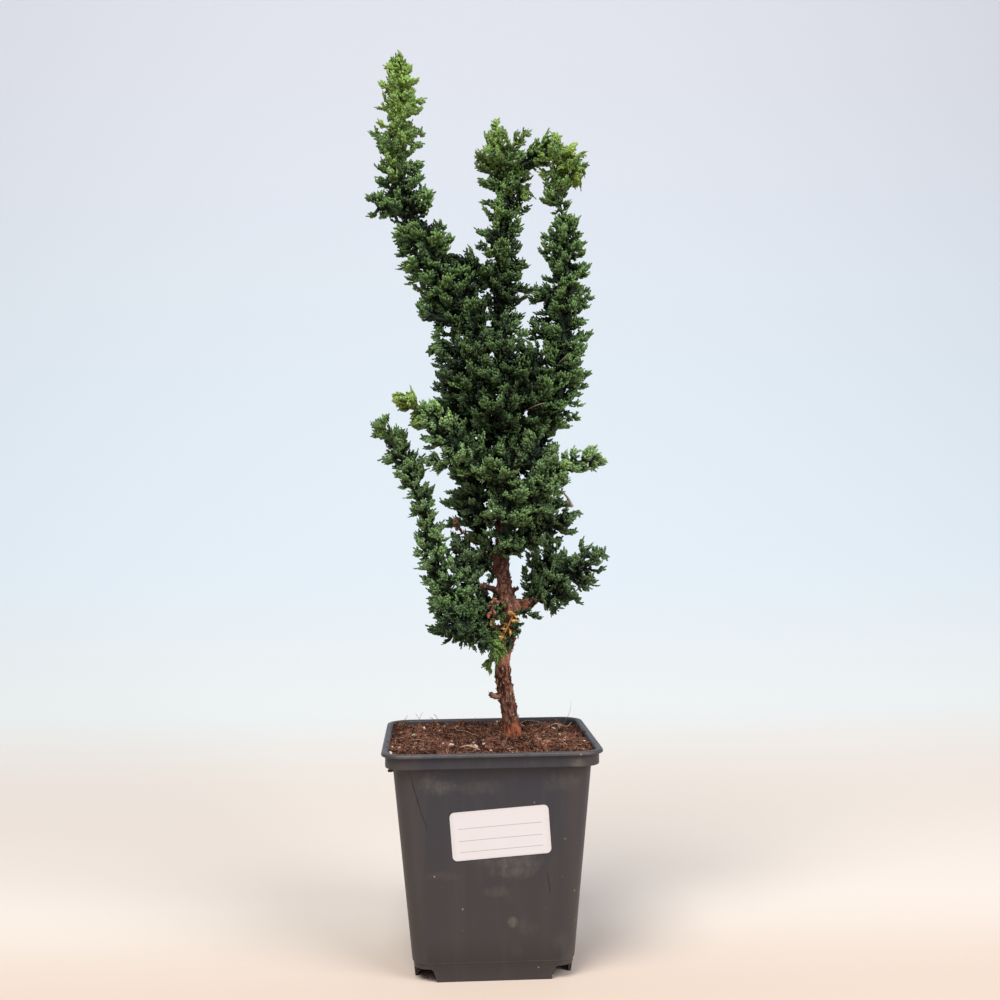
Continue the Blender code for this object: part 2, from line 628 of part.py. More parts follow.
def fan_mesh(length, fingers, shape, grow):
    """Twig fan: uneven pointed fingers round its middle, ridged and cupped. Its root is at the origin
    and its tip along +X. The shape seeds its unevenness."""
    draws = random.Random(shape)
    bm = bmesh.new()
    middle = FAN_MIDDLE * length
    step = 2 * FAN_SPREAD / (fingers - 1)
    rim = [(math.pi, middle, 0)]
    for number in range(2 * fingers + 1):
        angle = -FAN_SPREAD - step / 2 + number * step / 2
        uneven = draws.uniform(-FAN_UNEVEN, FAN_UNEVEN)
        if number % 2:
            rim.append((angle, (FAN_TIP - 0.07 * abs(angle) + 0.6 * uneven) * length, uneven))
        else:
            rim.append((angle, FAN_NOTCH * length * (1 + uneven), -uneven))
    ring = []
    for angle, reach, wave in rim:
        out = reach + grow
        height = FAN_CUP * length * (out / length - 0.25 + wave)
        ring.append(bm.verts.new((middle + out * math.cos(angle), out * math.sin(angle), height)))
    half = FAN_THICK * length / 2 + grow
    over = bm.verts.new((middle, 0, half))
    under = bm.verts.new((middle, 0, -half))
    for a, b in zip(ring, ring[1:] + ring[:1]):
        bm.faces.new((over, a, b))
        bm.faces.new((under, b, a))
    return mesh_from(bm, "fan")


class LeafyStem:
    """One leafy stem: its route, the room that its neighbours leave it, its core and its fans."""

    def __init__(self, name, carrier, tone, fan_count, route, in_crown=False):
        self.name = name
        self.in_crown = in_crown
        self.carrier = carrier
        self.tone = tone
        self.fan_count = fan_count
        self.draws = random.Random(name)
        self.base_radius = DRY_BASE if tone in DRY_TONES else GREEN_BASE
        self.samples = route_samples(route, ROUTE_STEP)
        self.reaches = []
        self.shrink = 1.0
        self.fans = []
        self.fan_trees = []

    def points(self):
        return np.array([sample[:] for sample in self.samples])

    def seat(self, surface):
        self.samples = seated(self.samples, surface, self.base_radius)

    def share_room(self, others, surface):
        """Cuts the reach back so that this stem and its neighbours share the space between them."""
        mine = self.points()
        self.reaches = list(mine[:, 3])
        room = mine[:, 3].copy()
        for other in others:
            if other is self or other.carrier == self.name or other.name == self.carrier:
                continue
            theirs = other.points()
            apart = np.linalg.norm(mine[:, None, :3] - theirs[None, :, :3], axis=2)
            share = mine[:, None, 3] / (mine[:, None, 3] + theirs[None, :, 3])
            room = np.minimum(room, (apart * share).min(axis=1) - GAP / 2)
        for k, sample in enumerate(self.samples):
            to_carrier = surface.find_nearest(sample.xyz)[3] - GAP
            self.samples[k].w = max(self.base_radius, min(room[k], to_carrier))

    def core_mesh(self, shrink, grow):
        """The stem itself: a bare foot first, then uneven rings, and a blunt tip."""
        draws = random.Random(self.name + "core")
        last = len(self.samples) - 1
        count = max(3, round(last * ROUTE_STEP / CORE_STEP)) + 1
        rings = []
        for i in range(count):
            sample = self.samples[round(i * last / (count - 1))]
            radius = sample.w * CORE_SHARE * shrink
            radius = self.base_radius if i == 0 else max(self.base_radius, radius)
            if i == count - 1:
                radius *= 0.5
            rings.append(Vector((*sample.xyz, radius + grow)))
        mesh = tube(rings, 4 if self.tone in DRY_TONES else CORE_SIDES, self.name)
        for vertex in mesh.vertices:
            ring = min(rings, key=lambda r: (r.xyz - vertex.co).length_squared)
            knob = draws.uniform(*CORE_KNOBS)
            if ring is not rings[0]:
                slide = (ring - rings[0]).xyz.normalized() * ring.w * draws.uniform(-CORE_SLIDE, CORE_SLIDE)
                vertex.co = ring.xyz + (vertex.co - ring.xyz) * (1 + knob) + slide
        if self.tone not in DRY_TONES:
            self.raise_tufts(mesh, draws, shrink, grow)
        return mesh

    def raise_tufts(self, mesh, draws, shrink, grow):
        """Raises the core's side faces to uneven pyramids, except at its foot and where fans stand."""
        bm = bmesh.new()
        bm.from_mesh(mesh)
        beds = [self.surface_at(k, azimuth) for k, azimuth, _, _, _ in self.plan] + [self.samples[0].xyz]
        raised = []
        for face in bm.faces:
            middle = face.calc_center_median()
            free = min((bed - middle).length for bed in beds) > FAN_BED
            if len(face.verts) == 4 and free and draws.random() < TUFT_SHARE:
                raised.append(face)
        for tuft in bmesh.ops.poke(bm, faces=raised)["verts"]:
            k = min(range(len(self.samples)), key=lambda i: (self.samples[i].xyz - tuft.co).length_squared)
            centre, along, _, _ = frame_at(self.samples, k)
            out = (tuft.co - centre).normalized()
            height = self.samples[k].w * shrink * draws.uniform(*TUFT_REACH) + grow
            tuft.co = centre + out * height + along * CORE_STEP * draws.uniform(*TUFT_LEAN)
        bm.to_mesh(mesh)
        bm.free()

    def grow_core(self, blockers):
        """Makes the core, slimmer where it would come too close to a neighbour."""
        while self.shrink > SLIMMEST:
            guard = tree_of(self.core_mesh(self.shrink, GAP))
            if not any(guard.overlap(tree) for tree in blockers):
                break
            self.shrink *= 0.9
        self.core = self.core_mesh(self.shrink, 0)
        self.tree = tree_of(self.core)

    def plan_fans(self):
        """Wanted fans, as (sample number, azimuth, lift, roll, length), the last of them at the tip."""
        last = len(self.samples) - 1
        azimuth = self.draws.uniform(0, 2 * math.pi)
        self.plan = []
        along_count = self.fan_count - TIP_FANS
        for number in range(along_count):
            share = FAN_FIRST + (FAN_LAST - FAN_FIRST) * (number + 0.5) / along_count
            k = round(share * last)
            lift = math.radians(self.draws.uniform(*FAN_LIFTS))
            roll = math.radians(self.draws.uniform(-FAN_ROLL, FAN_ROLL))
            stand = self.reaches[k] - self.samples[k].w * CORE_SHARE + FAN_ROOT_DEPTH
            length = stand / math.cos(lift) * self.draws.uniform(*FAN_SIZE_DRAW)
            turned = azimuth
            if self.in_crown:
                turned = self.outward(k) + CROWN_FACING * (azimuth % (2 * math.pi) / math.pi - 1)
            self.plan.append((k, turned, lift, roll, length))
            azimuth += GOLDEN_ANGLE + self.draws.uniform(-FAN_TURN_DRAW, FAN_TURN_DRAW)
        for number in range(TIP_FANS):
            turned = azimuth + number * 2 * math.pi / TIP_FANS
            self.plan.append((last, turned, math.radians(TIP_FAN_LIFT), 0, self.reaches[last]))

    def outward(self, k):
        """Azimuth round the stem that faces away from the crown's middle."""
        centre, _, side, across = frame_at(self.samples, k)
        out = centre - Vector((*CROWN_MIDDLE, 0)) * MM
        out.z = 0
        return math.atan2(out.dot(across), out.dot(side))

    def surface_at(self, k, azimuth, depth=0):
        """A point on the core, or below its surface, at a sample and an azimuth round the stem."""
        centre, _, side, across = frame_at(self.samples, k)
        surface = max(self.base_radius, self.samples[k].w * CORE_SHARE * self.shrink)
        return centre + (side * math.cos(azimuth) + across * math.sin(azimuth)) * max(0, surface - depth)

    def fan_place(self, k, azimuth, lift, roll):
        """Where a fan stands: rooted inside the core, leaning out of the stem and up it."""
        _, along, side, across = frame_at(self.samples, k)
        out = side * math.cos(azimuth) + across * math.sin(azimuth)
        ahead = (out * math.cos(lift) + along * math.sin(lift) + Vector((0, 0, 0.1))).normalized()
        face = (along - ahead * along.dot(ahead)).normalized()
        face = Matrix.Rotation(roll, 3, ahead) @ face
        turn = Matrix((ahead, face.cross(ahead), face)).transposed().to_4x4()
        return Matrix.Translation(self.surface_at(k, azimuth, FAN_ROOT_DEPTH)) @ turn

    def try_fan(self, number, others, strict):
        """Adds a planned fan where it is clear of every other node, bent aside or shorter if need be."""
        k, azimuth, lift, roll, length = self.plan[number]
        for bend, more_lift, share in FAN_TRIES:
            fan_length = min(max(length * share, FAN_SHORTEST), FAN_LONGEST)
            fingers = 7 if fan_length > WIDE_FAN else 5 if fan_length > SMALL_FAN else 3
            shape = f"{self.name} {number}"
            place = self.fan_place(k, azimuth + bend, lift + more_lift, roll)
            centre = place @ Vector((fan_length / 2, 0, 0))
            radius = fan_length * 0.65
            test = tree_of(fan_mesh(fan_length, fingers, shape, FAN_CLEARANCE), place)
            near = others + (self.fan_trees if strict else [])
            if any((at - centre).length < size + radius and test.overlap(tree) for tree, at, size in near):
                continue
            outer = fan_mesh(fan_length, fingers, shape, 0)
            self.fans.append((outer, place))
            self.fan_trees.append((tree_of(outer, place), centre, radius))
            return True
        return False


def carrier_point(z, out):
    """Where a spray at a height leaves the wood: the trunk's centre line, or the limb on that side."""
    routes = [TRUNK_ROUTE] if z < TRUNK_ROUTE[-1][2] else LIMB_ROUTES[:3]
    found = []
    for route in routes:
        for low, high in zip(route, route[1:]):
            if low[2] <= z <= high[2]:
                share = (z - low[2]) / (high[2] - low[2])
                found.append(Vector(low[:3]).lerp(Vector(high[:3]), share))
    return max(found, key=lambda point: point.dot(out))


def crown_route(azimuth, foot_z, top_z, distance, reach):
    """Route of one crown spray in mm: out from the wood, then up beside it."""
    out = Vector((math.cos(math.radians(azimuth)), math.sin(math.radians(azimuth)), 0))
    foot = carrier_point(foot_z, out)
    middle = Vector((*CROWN_MIDDLE, 0))
    points = [(*foot, CROWN_FOOT_SHARE * reach)]
    for away, up, size in CROWN_BEND:
        z = foot.z + (top_z - foot_z) * up
        point = middle + out * distance * away + Vector((0, 0, z))
        points.append((*point, reach * size))
    return points


def make_foliage(trunk):
    wood = tree_of(trunk.data)
    stems = [LeafyStem(*stem) for stem in STEMS]
    for number, spray in enumerate(CROWN_SPRAYS, 1):
        tone = "mid" if number % 3 else "dark"
        route = crown_route(*spray)
        stems.append(LeafyStem(f"crown_spray_{number:02d}", "trunk", tone, CROWN_FANS, route, in_crown=True))
    for stem in stems:
        if stem.carrier == "trunk":
            stem.seat(wood)
    by_name = {}
    for stem in stems:
        surface = wood
        if stem.carrier != "trunk":
            surface = by_name[stem.carrier].tree
            stem.seat(surface)
        stem.share_room(stems, surface)
        stem.plan_fans()
        stem.grow_core([wood] + [other.tree for other in by_name.values()])
        by_name[stem.name] = stem
    everywhere = (Vector((0, 0, 0)), 1.0)
    most = max(stem.fan_count for stem in stems)
    planned = [(number, stem) for number in range(most) for stem in stems if number < stem.fan_count]
    for strict in (True, False):
        missed = []
        for number, stem in planned:
            others = [(wood, *everywhere)]
            for other in stems:
                if other is not stem:
                    others.append((other.tree, *everywhere))
                    others.extend(other.fan_trees)
            if not stem.try_fan(number, others, strict):
                missed.append((number, stem))
        planned = missed
    tones = {tone: make_material(f"foliage_{tone}", *look) for tone, look in TONES.items()}
    for stem in stems:
        leafy = add_object(stem.name, stem.core, model, tones[stem.tone])
        for mesh, place in stem.fans:
            mesh.transform(place)
        fuse(leafy, [mesh for mesh, _ in stem.fans], "MANIFOLD")
        leafy.data.shade_flat()


make_pot()
make_soil()
make_label()
make_foliage(make_trunk())
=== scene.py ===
"""Looks of a young hinoki cypress bonsai in its nursery pot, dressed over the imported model.

Metres, +Z up, in the model's own frame: the origin is the middle of the pot's underside, and -Y is in
front of the wall that carries the label.
"""

import math
import random

import bmesh
import bpy
from mathutils import Matrix, Vector, noise


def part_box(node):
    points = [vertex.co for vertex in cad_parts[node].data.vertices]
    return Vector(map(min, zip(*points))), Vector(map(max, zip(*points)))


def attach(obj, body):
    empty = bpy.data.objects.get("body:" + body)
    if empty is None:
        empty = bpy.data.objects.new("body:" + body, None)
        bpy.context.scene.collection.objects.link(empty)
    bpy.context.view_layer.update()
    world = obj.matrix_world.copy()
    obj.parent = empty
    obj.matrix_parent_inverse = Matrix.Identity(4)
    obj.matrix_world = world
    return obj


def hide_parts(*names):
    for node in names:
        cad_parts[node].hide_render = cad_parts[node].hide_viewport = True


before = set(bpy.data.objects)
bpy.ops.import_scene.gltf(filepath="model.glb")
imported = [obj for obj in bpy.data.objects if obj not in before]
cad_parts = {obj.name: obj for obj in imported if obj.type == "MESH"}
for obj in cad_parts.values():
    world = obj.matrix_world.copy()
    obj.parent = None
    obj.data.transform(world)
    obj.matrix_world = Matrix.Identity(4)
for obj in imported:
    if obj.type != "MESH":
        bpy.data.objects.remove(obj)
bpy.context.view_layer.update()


# Pot: a square nursery pot, moulded thin from dark grey recycled plastic, with a collar under a rolled
# lip, four straight skirts between cut-away corners, and drain holes in its floor. It stands on the
# skirts and holds everything else. Handling has left dust, scuffs and a few hairline cracks on it.
MM = 0.001
GAP = 0.3 * MM
pot_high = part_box("pot")[1]
LIP_HALF = pot_high.x
LIP_DEPTH = 1.5 * MM
COLLAR_HALF = LIP_HALF - 1.6 * MM
COLLAR_BOTTOM = 88.2 * MM
BODY_TOP_HALF = 40.4 * MM
BODY_LOW_HALF = 33.3 * MM
SKIRT_TOP = 7.9 * MM
SKIRT_INSET = 0.4 * MM
POT_WALL = 1.2 * MM
FLOOR_TOP = 7.5 * MM
FLOOR_UNDER = FLOOR_TOP - POT_WALL
BODY_CORNER = 6.8 * MM
COLLAR_CORNER = 8.1 * MM
LIP_CORNER = 9.6 * MM
POT_TAPER = (BODY_TOP_HALF - BODY_LOW_HALF) / (COLLAR_BOTTOM - SKIRT_TOP)
POT_EASE = 0.22 * MM
POT_BOW = 0.3 * MM
SKIRT_HALF_LENGTH = 23.3 * MM
NOTCH_HEIGHT = 5.5 * MM
NOTCH_SLOPE = 1.5 * MM
NOTCH_ROUND = 1.2 * MM
NOTCH_REACH = 4.0 * MM
DRAIN_RADIUS = 3.6 * MM
DRAIN_OFFSET = 21.5 * MM
DRAIN_DEPTH = 5.0 * MM
LIP_EDGE = 0.5 * MM
LIP_INSET = 0.6 * MM
LIP_STEP = 0.8 * MM
CORNER_STEPS = 10
SIDE_POINTS = 7
WALL_STEPS = 8
TALL_WALL = 40 * MM
# Marks on the front wall, mm: dust as x, z, half width, half height and strength, wiped off where it is
# negative, and cracks as two ends
DUST = [
    (-22.5, 82.0, 7.5, 5.5, 0.9), (-19.3, 84.8, 4.5, 2.6, -1.0), (-5, 80, 11, 3, 0.35),
    (28, 82.0, 8, 4.5, 0.4), (34, 89.6, 3.0, 2.2, 0.9), (8, 48.3, 11, 6.0, 0.9), (7.6, 24.3, 2.4, 2.4, 1.3),
    (1, 37, 6, 2.5, 0.35), (-20, 44, 8, 2, 0.3),
]
CRACKS = [(-34.1, 88.0, -26.6, 62.0), (21.5, 46.0, 22.8, 34.5)]


class Value:
    """One socket of a node tree. Python's operators on it add Math nodes."""

    def __init__(self, sheet, socket):
        self.sheet = sheet
        self.socket = socket

    def out(self, name):
        """Another output of the same node."""
        return Value(self.sheet, self.socket.node.outputs[name])

    def __add__(self, other):
        return self.sheet.maths("ADD", self, other)

    def __sub__(self, other):
        return self.sheet.maths("SUBTRACT", self, other)

    def __rsub__(self, other):
        return self.sheet.maths("SUBTRACT", other, self)

    def __mul__(self, other):
        return self.sheet.maths("MULTIPLY", self, other)

    def __truediv__(self, other):
        return self.sheet.maths("DIVIDE", self, other)

    def __abs__(self):
        return self.sheet.maths("ABSOLUTE", self)

    __radd__ = __add__
    __rmul__ = __mul__


class NodeSheet:
    """A node tree that is filled by plain calls."""

    def __init__(self, tree):
        self.tree = tree

    def node(self, kind, inputs=None, output=0, **settings):
        """Adds a node: its settings first, then its sockets' values or links. Gives one output."""
        made = self.tree.nodes.new(kind)
        for name, value in settings.items():
            setattr(made, name, value)
        for name, value in (inputs or {}).items():
            self.plug(made.inputs[name], value)
        return Value(self, made.outputs[output])

    def plug(self, socket, value):
        if isinstance(value, Value):
            self.tree.links.new(value.socket, socket)
        elif socket.type == "RGBA" and len(value) == 3:
            socket.default_value = (*value, 1)
        else:
            socket.default_value = value

    def maths(self, operation, *values):
        return self.node("ShaderNodeMath", dict(enumerate(values)), operation=operation)

    def vectors(self, operation, *values):
        return self.node("ShaderNodeVectorMath", dict(enumerate(values)), operation=operation)

    def axes(self, vector):
        """X, Y and Z of a vector."""
        x = self.node("ShaderNodeSeparateXYZ", {0: vector})
        return x, x.out("Y"), x.out("Z")

    def rise(self, value, low, high):
        """0 below low, 1 above high, smooth between them. With low over high it falls instead."""
        ends = {"Value": value, "From Min": low, "From Max": high}
        return self.node("ShaderNodeMapRange", ends, interpolation_type="SMOOTHSTEP")


class Finish(NodeSheet):
    """A material on one Principled shader, with its patterns in metres on Object coordinates."""

    def __init__(self, name):
        self.material = bpy.data.materials.new(name)
        self.material.use_nodes = True
        super().__init__(self.material.node_tree)
        self.shader = self.tree.nodes["Principled BSDF"]
        self.place = self.node("ShaderNodeTexCoord", output="Object")

    def blend(self, share, low, high):
        """Colour between two others."""
        return self.node("ShaderNodeMix", {0: share, 6: low, 7: high}, 2, data_type="RGBA")

    def layers(self, colour, *layers):
        """The colour under others, each given as its share and itself, the topmost last."""
        for share, other in layers:
            colour = self.blend(share, colour, other)
        return colour

    def stretched(self, across, along):
        """Coordinates for a pattern that is drawn out along Z, in repeats per metre."""
        return self.node("ShaderNodeMapping", {"Vector": self.place, "Scale": (across, across, along)})

    def cloud(self, size, detail=3.0, place=None, roughness=0.55):
        """Noise from 0 to 1 whose blots are about this size in metres."""
        scale = 1.0 if place else 1 / size
        inputs = {"Vector": place or self.place, "Scale": scale, "Detail": detail, "Roughness": roughness}
        return self.node("ShaderNodeTexNoise", inputs)

    def blots(self, low, high, *settings, **named):
        """Soft-edged blots, where such noise rises from one level to another."""
        return self.rise(self.cloud(*settings, **named), low, high)

    def cells(self, size, place=None, feature="F1"):
        scale = 1.0 if place else 1 / size
        inputs = {"Vector": place or self.place, "Scale": scale}
        return self.node("ShaderNodeTexVoronoi", inputs, feature=feature)

    def attribute(self, name):
        return self.node("ShaderNodeAttribute", output="Fac", attribute_name=name)

    def height(self):
        return self.axes(self.place)[2]

    def wear(self, colour, roughness, relief=None, depth=0.0001, **constants):
        self.plug(self.shader.inputs["Base Color"], colour)
        self.plug(self.shader.inputs["Roughness"], roughness)
        if relief:
            bump = self.node("ShaderNodeBump", {"Strength": 1.0, "Distance": depth, "Height": relief})
            self.plug(self.shader.inputs["Normal"], bump)
        for name, value in constants.items():
            self.plug(self.shader.inputs[name.replace("_", " ")], value)
        return self.material


def rounded_square(half, radius, z, corner_steps, side_points=0, bow=0.0):
    """Points of a square with round corners, anticlockwise. Its sides sink in by the bow."""
    points = []
    for corner in range(4):
        turn = corner * math.pi / 2
        quarter = Matrix.Rotation(turn, 3, "Z")
        middle = quarter @ Vector((half - radius, half - radius, z))
        for step in range(corner_steps):
            angle = turn + step / (corner_steps - 1) * math.pi / 2
            points.append(middle + Vector((math.cos(angle), math.sin(angle), 0)) * radius)
        for number in range(side_points):
            along = 1 - 2 * (number + 1) / (side_points + 1)
            sunk = half - bow * (1 - along * along)
            points.append(quarter @ Vector(((half - radius) * along, sunk, z)))
    return points


def loft(rings, name, capped=True):
    bm = bmesh.new()
    rows = [[bm.verts.new(point) for point in ring] for ring in rings]
    for low, high in zip(rows, rows[1:]):
        for i in range(len(low)):
            j = (i + 1) % len(low)
            bm.faces.new((low[i], low[j], high[j], high[i]))
    if capped:
        bm.faces.new(list(reversed(rows[0])))
        bm.faces.new(rows[-1])
    return mesh_from(bm, name)


def mesh_from(bm, name):
    mesh = bpy.data.meshes.new(name)
    bm.to_mesh(mesh)
    bm.free()
    return mesh


def eased(profile, ease):
    """The profile with each of its corners cut back to two points."""
    points = [Vector(point) for point in profile]
    made = [points[0]]
    for before, here, after in zip(points, points[1:], points[2:]):
        for other in (before, after):
            leg = (other - here).xy.length
            made.append(here.lerp(other, min(ease / leg, 0.4)))
    made.append(points[-1])
    return made


def new_object(name, data):
    made = bpy.data.objects.new(name, data)
    bpy.context.scene.collection.objects.link(made)
    return made


def evaluated_mesh(obj):
    bpy.context.view_layer.update()
    return bpy.data.meshes.new_from_object(obj.evaluated_get(bpy.context.evaluated_depsgraph_get()))


def add_piece(name, mesh, material, nodes=(), slot=None, smooth_below=None):
    """Puts a finished mesh in the scene, on the root body, in place of the nodes that it stands for."""
    piece = new_object(name, mesh)
    if material:
        mesh.materials.clear()
        mesh.materials.append(material)
    if smooth_below:
        mesh.shade_smooth()
        mesh.set_sharp_from_angle(angle=math.radians(smooth_below))
    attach(piece, "root")
    if nodes:
        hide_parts(*nodes)
    return piece


def cut(mesh, cutters):
    """The mesh without what the cutters hold. Each cutter is a mesh and its place."""
    body = new_object("body", mesh)
    helpers = [body]
    for number, (shape, place) in enumerate(cutters):
        cutter = new_object(f"cutter_{number}", shape)
        cutter.matrix_world = place
        difference = body.modifiers.new(cutter.name, "BOOLEAN")
        difference.object = cutter
        difference.solver = "EXACT"
        helpers.append(cutter)
    made = evaluated_mesh(body)
    for helper in helpers:
        bpy.data.objects.remove(helper)
    return made


def body_half(z):
    return BODY_LOW_HALF + (z - SKIRT_TOP) * POT_TAPER


def wall_bow(z):
    """How far the middle of a wall is sunk at a height."""
    return POT_BOW * math.sin(math.pi * min(max(z / COLLAR_BOTTOM, 0), 1))


def pot_cutters():
    """A block with a round upper edge for each corner of the skirt, and a drain hole beside it."""
    cutters = []
    for corner in range(4):
        turn = Matrix.Rotation(corner * math.pi / 2, 4, "Z")
        reach = BODY_LOW_HALF + NOTCH_REACH
        middle = (reach + SKIRT_HALF_LENGTH) / 2
        block = bmesh.new()
        bmesh.ops.create_cube(block, size=2 * NOTCH_HEIGHT)
        for vertex in block.verts:
            half = (reach - SKIRT_HALF_LENGTH) / 2 - math.copysign(NOTCH_SLOPE, vertex.co.z)
            vertex.co.x = math.copysign(half, vertex.co.x)
            vertex.co.y = math.copysign(half, vertex.co.y)
        upper = [edge for edge in block.edges if all(v.co.z > 0 for v in edge.verts)]
        bmesh.ops.bevel(block, geom=upper, offset=NOTCH_ROUND, segments=4, affect="EDGES", profile=0.5)
        cutters.append((mesh_from(block, "notch"), turn @ Matrix.Translation((middle, middle, 0))))
        hole = bmesh.new()
        bmesh.ops.create_cone(
            hole, cap_ends=True, segments=24, radius1=DRAIN_RADIUS, radius2=DRAIN_RADIUS,
            depth=DRAIN_DEPTH)
        spot = Matrix.Translation((DRAIN_OFFSET, DRAIN_OFFSET, FLOOR_TOP - POT_WALL / 2))
        cutters.append((mesh_from(hole, "drain"), turn @ spot))
    return cutters


def pot_mesh():
    skirt_top = BODY_LOW_HALF - SKIRT_INSET
    skirt_low = skirt_top - SKIRT_TOP * POT_TAPER
    lip_under = pot_high.z - LIP_DEPTH
    ledge = COLLAR_BOTTOM + POT_WALL
    profile = [
        (skirt_low - POT_WALL, FLOOR_UNDER, BODY_CORNER),
        (skirt_low - POT_WALL, 0, BODY_CORNER),
        (skirt_low, 0, BODY_CORNER),
        (skirt_top, SKIRT_TOP, BODY_CORNER),
        (BODY_LOW_HALF, SKIRT_TOP, BODY_CORNER),
        (BODY_TOP_HALF, COLLAR_BOTTOM, BODY_CORNER),
        (COLLAR_HALF, COLLAR_BOTTOM, COLLAR_CORNER),
        (COLLAR_HALF, lip_under, COLLAR_CORNER),
        (LIP_HALF, lip_under, LIP_CORNER),
        (LIP_HALF, pot_high.z - LIP_EDGE, LIP_CORNER),
        (LIP_HALF - LIP_EDGE, pot_high.z, LIP_CORNER),
        (COLLAR_HALF - LIP_INSET, pot_high.z, COLLAR_CORNER),
        (COLLAR_HALF - POT_WALL, pot_high.z - LIP_STEP, COLLAR_CORNER),
        (COLLAR_HALF - POT_WALL, ledge, COLLAR_CORNER),
        (body_half(ledge) - POT_WALL, ledge, BODY_CORNER),
        (body_half(FLOOR_TOP) - POT_WALL, FLOOR_TOP, BODY_CORNER),
    ]
    rings = []
    stations = eased(profile, POT_EASE)
    for low, high in zip(stations, stations[1:] + stations[-1:]):
        steps = WALL_STEPS if abs(high.y - low.y) > TALL_WALL else 1
        for step in range(steps):
            half, z, radius = low.lerp(high, step / steps)
            rings.append(rounded_square(half, radius, z, CORNER_STEPS, SIDE_POINTS, wall_bow(z)))
    return cut(loft(rings, "pot_shell"), pot_cutters())


def front_marks(paint):
    """Shares of dust and of cracks on the front wall."""
    x, y, z = paint.axes(paint.place)
    dust = 0.0
    ragged = (paint.cloud(0.0045, 3, roughness=0.6) - 0.5) * 2.2
    for middle_x, middle_z, width, height, strength in DUST:
        aside = (x - middle_x * MM) / (width * MM)
        above = (z - middle_z * MM) / (height * MM)
        dust = paint.rise(aside * aside + above * above + ragged, 1.2, 0.1) * strength + dust
    dust = paint.maths("MAXIMUM", dust, 0.0)
    cracks = 0.0
    wander = (paint.cloud(0.004, 2) - 0.5) * (2.2 * MM)
    for top_x, top_z, low_x, low_z in CRACKS:
        slope = (low_x - top_x) / (top_z - low_z)
        away = abs((top_z * MM - z) * slope + (top_x * MM + wander) - x)
        length = paint.rise(z, low_z * MM, (low_z + 3) * MM) * paint.rise(z, top_z * MM, (top_z - 3) * MM)
        cracks = paint.rise(away, 0.28 * MM, 0.10 * MM) * length + cracks
    front = paint.rise(y, -0.026, -0.030)
    return dust * front, cracks * front


def pot_finish():
    """Dark grey plastic, warmer low down, dusty, chipped, cracked, scuffed, with a painted lip highlight."""
    paint = Finish("pot_plastic")
    x, y, z = paint.axes(paint.place)
    from_middle = (abs(x), abs(y))
    near_corner = paint.maths("MINIMUM", *from_middle)
    furthest = paint.maths("MAXIMUM", *from_middle)
    streaks = paint.cloud(1, 4, paint.stretched(230, 14))
    marks, cracks = front_marks(paint)
    blots = paint.blots(0.60, 0.75, 0.026, 2) * 0.5
    smears = paint.blots(0.25, 0.70, 1, 3, paint.stretched(420, 180))
    grain = paint.blots(0.25, 0.75, 0.0011, 4, roughness=0.7)
    dust = paint.maths("MINIMUM", (blots + marks) * (0.5 + grain * 0.5) * (0.25 + smears * 0.75), 1.0)
    chips = paint.rise(paint.cells(0.0050), 0.085, 0.05) * paint.blots(0.48, 0.58, 0.013)
    # Painted highlight: a thin lighter line along the outer edge of the lip, patchy with the smears.
    wear_and_highlight = paint.rise(furthest, LIP_HALF - 1.0 * MM, LIP_HALF - 0.1 * MM) * (0.3 + smears * 0.7)
    seam = paint.rise(abs(z - SKIRT_TOP), 0.30 * MM, 0.12 * MM)
    scuffs = paint.blots(0.66, 0.74, 1, 3, paint.stretched(60, 900))
    grey = paint.layers(
        (0.0270, 0.0262, 0.0340),
        (paint.rise(z, 0.085, 0.010), (0.0360, 0.0302, 0.0305)),
        (paint.rise(near_corner, 0.026, 0.033) * 0.45, (0.056, 0.045, 0.041)),
        (paint.rise(streaks, 0.42, 0.75) * 0.35, (0.050, 0.043, 0.042)),
        (dust * 0.55, (0.150, 0.132, 0.102)),
        (chips * 0.7, (0.36, 0.27, 0.20)),
        (paint.maths("MINIMUM", cracks * 0.85, 1.0), (0.006, 0.005, 0.005)),
        (wear_and_highlight * 0.2, (0.170, 0.145, 0.130)),
        (seam * (0.15 + smears * 0.4), (0.130, 0.115, 0.105)),
        (scuffs * blots * 0.9, (0.125, 0.110, 0.100)))
    roughness = 0.42 + dust * 0.3 + paint.cloud(0.006) * 0.14
    relief = paint.cloud(0.0009, 3) * 0.5 + streaks - cracks
    return paint.wear(grey, roughness, relief, 0.00006, Specular_IOR_Level=0.4)


add_piece("pot_shell", pot_mesh(), pot_finish(), ["pot"], "pot_plastic", smooth_below=35)


# Label: a blank sticker of white paper, printed with plain writing lines only, stuck slightly askew to
# the front wall of the pot.
label_low, label_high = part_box("label")
LABEL_WIDTH = 40.0 * MM
LABEL_HEIGHT = 20.0 * MM
LABEL_CORNER = 2.0 * MM
LABEL_THICK = 0.14 * MM
LABEL_LIFT = 0.06 * MM
LABEL_TURN = math.radians(3.9)
LABEL_LINES = (3.0 * MM, -2.0 * MM, -6.6 * MM)
LINE_HALF_WIDTH = 0.11 * MM
LINE_MARGIN = 3.2 * MM
# Rings of the sheet: which face they are on, and how far in from its edge, mm
LABEL_RINGS = [(-1, 0.0), (1, 0.0), (1, 1.0), (1, 3.0), (1, 5.0), (1, 7.0), (1, 9.0)]


def label_place():
    lean = math.atan(POT_TAPER)
    z = (label_low.z + label_high.z) / 2
    wall = Vector(((label_low.x + label_high.x) / 2, -body_half(z), z))
    out = Vector((0, -math.cos(lean), -math.sin(lean)))
    turn = Matrix.Rotation(math.pi / 2 + lean, 4, "X") @ Matrix.Rotation(LABEL_TURN, 4, "Z")
    return Matrix.Translation(wall + out * (LABEL_LIFT + LABEL_THICK / 2)) @ turn


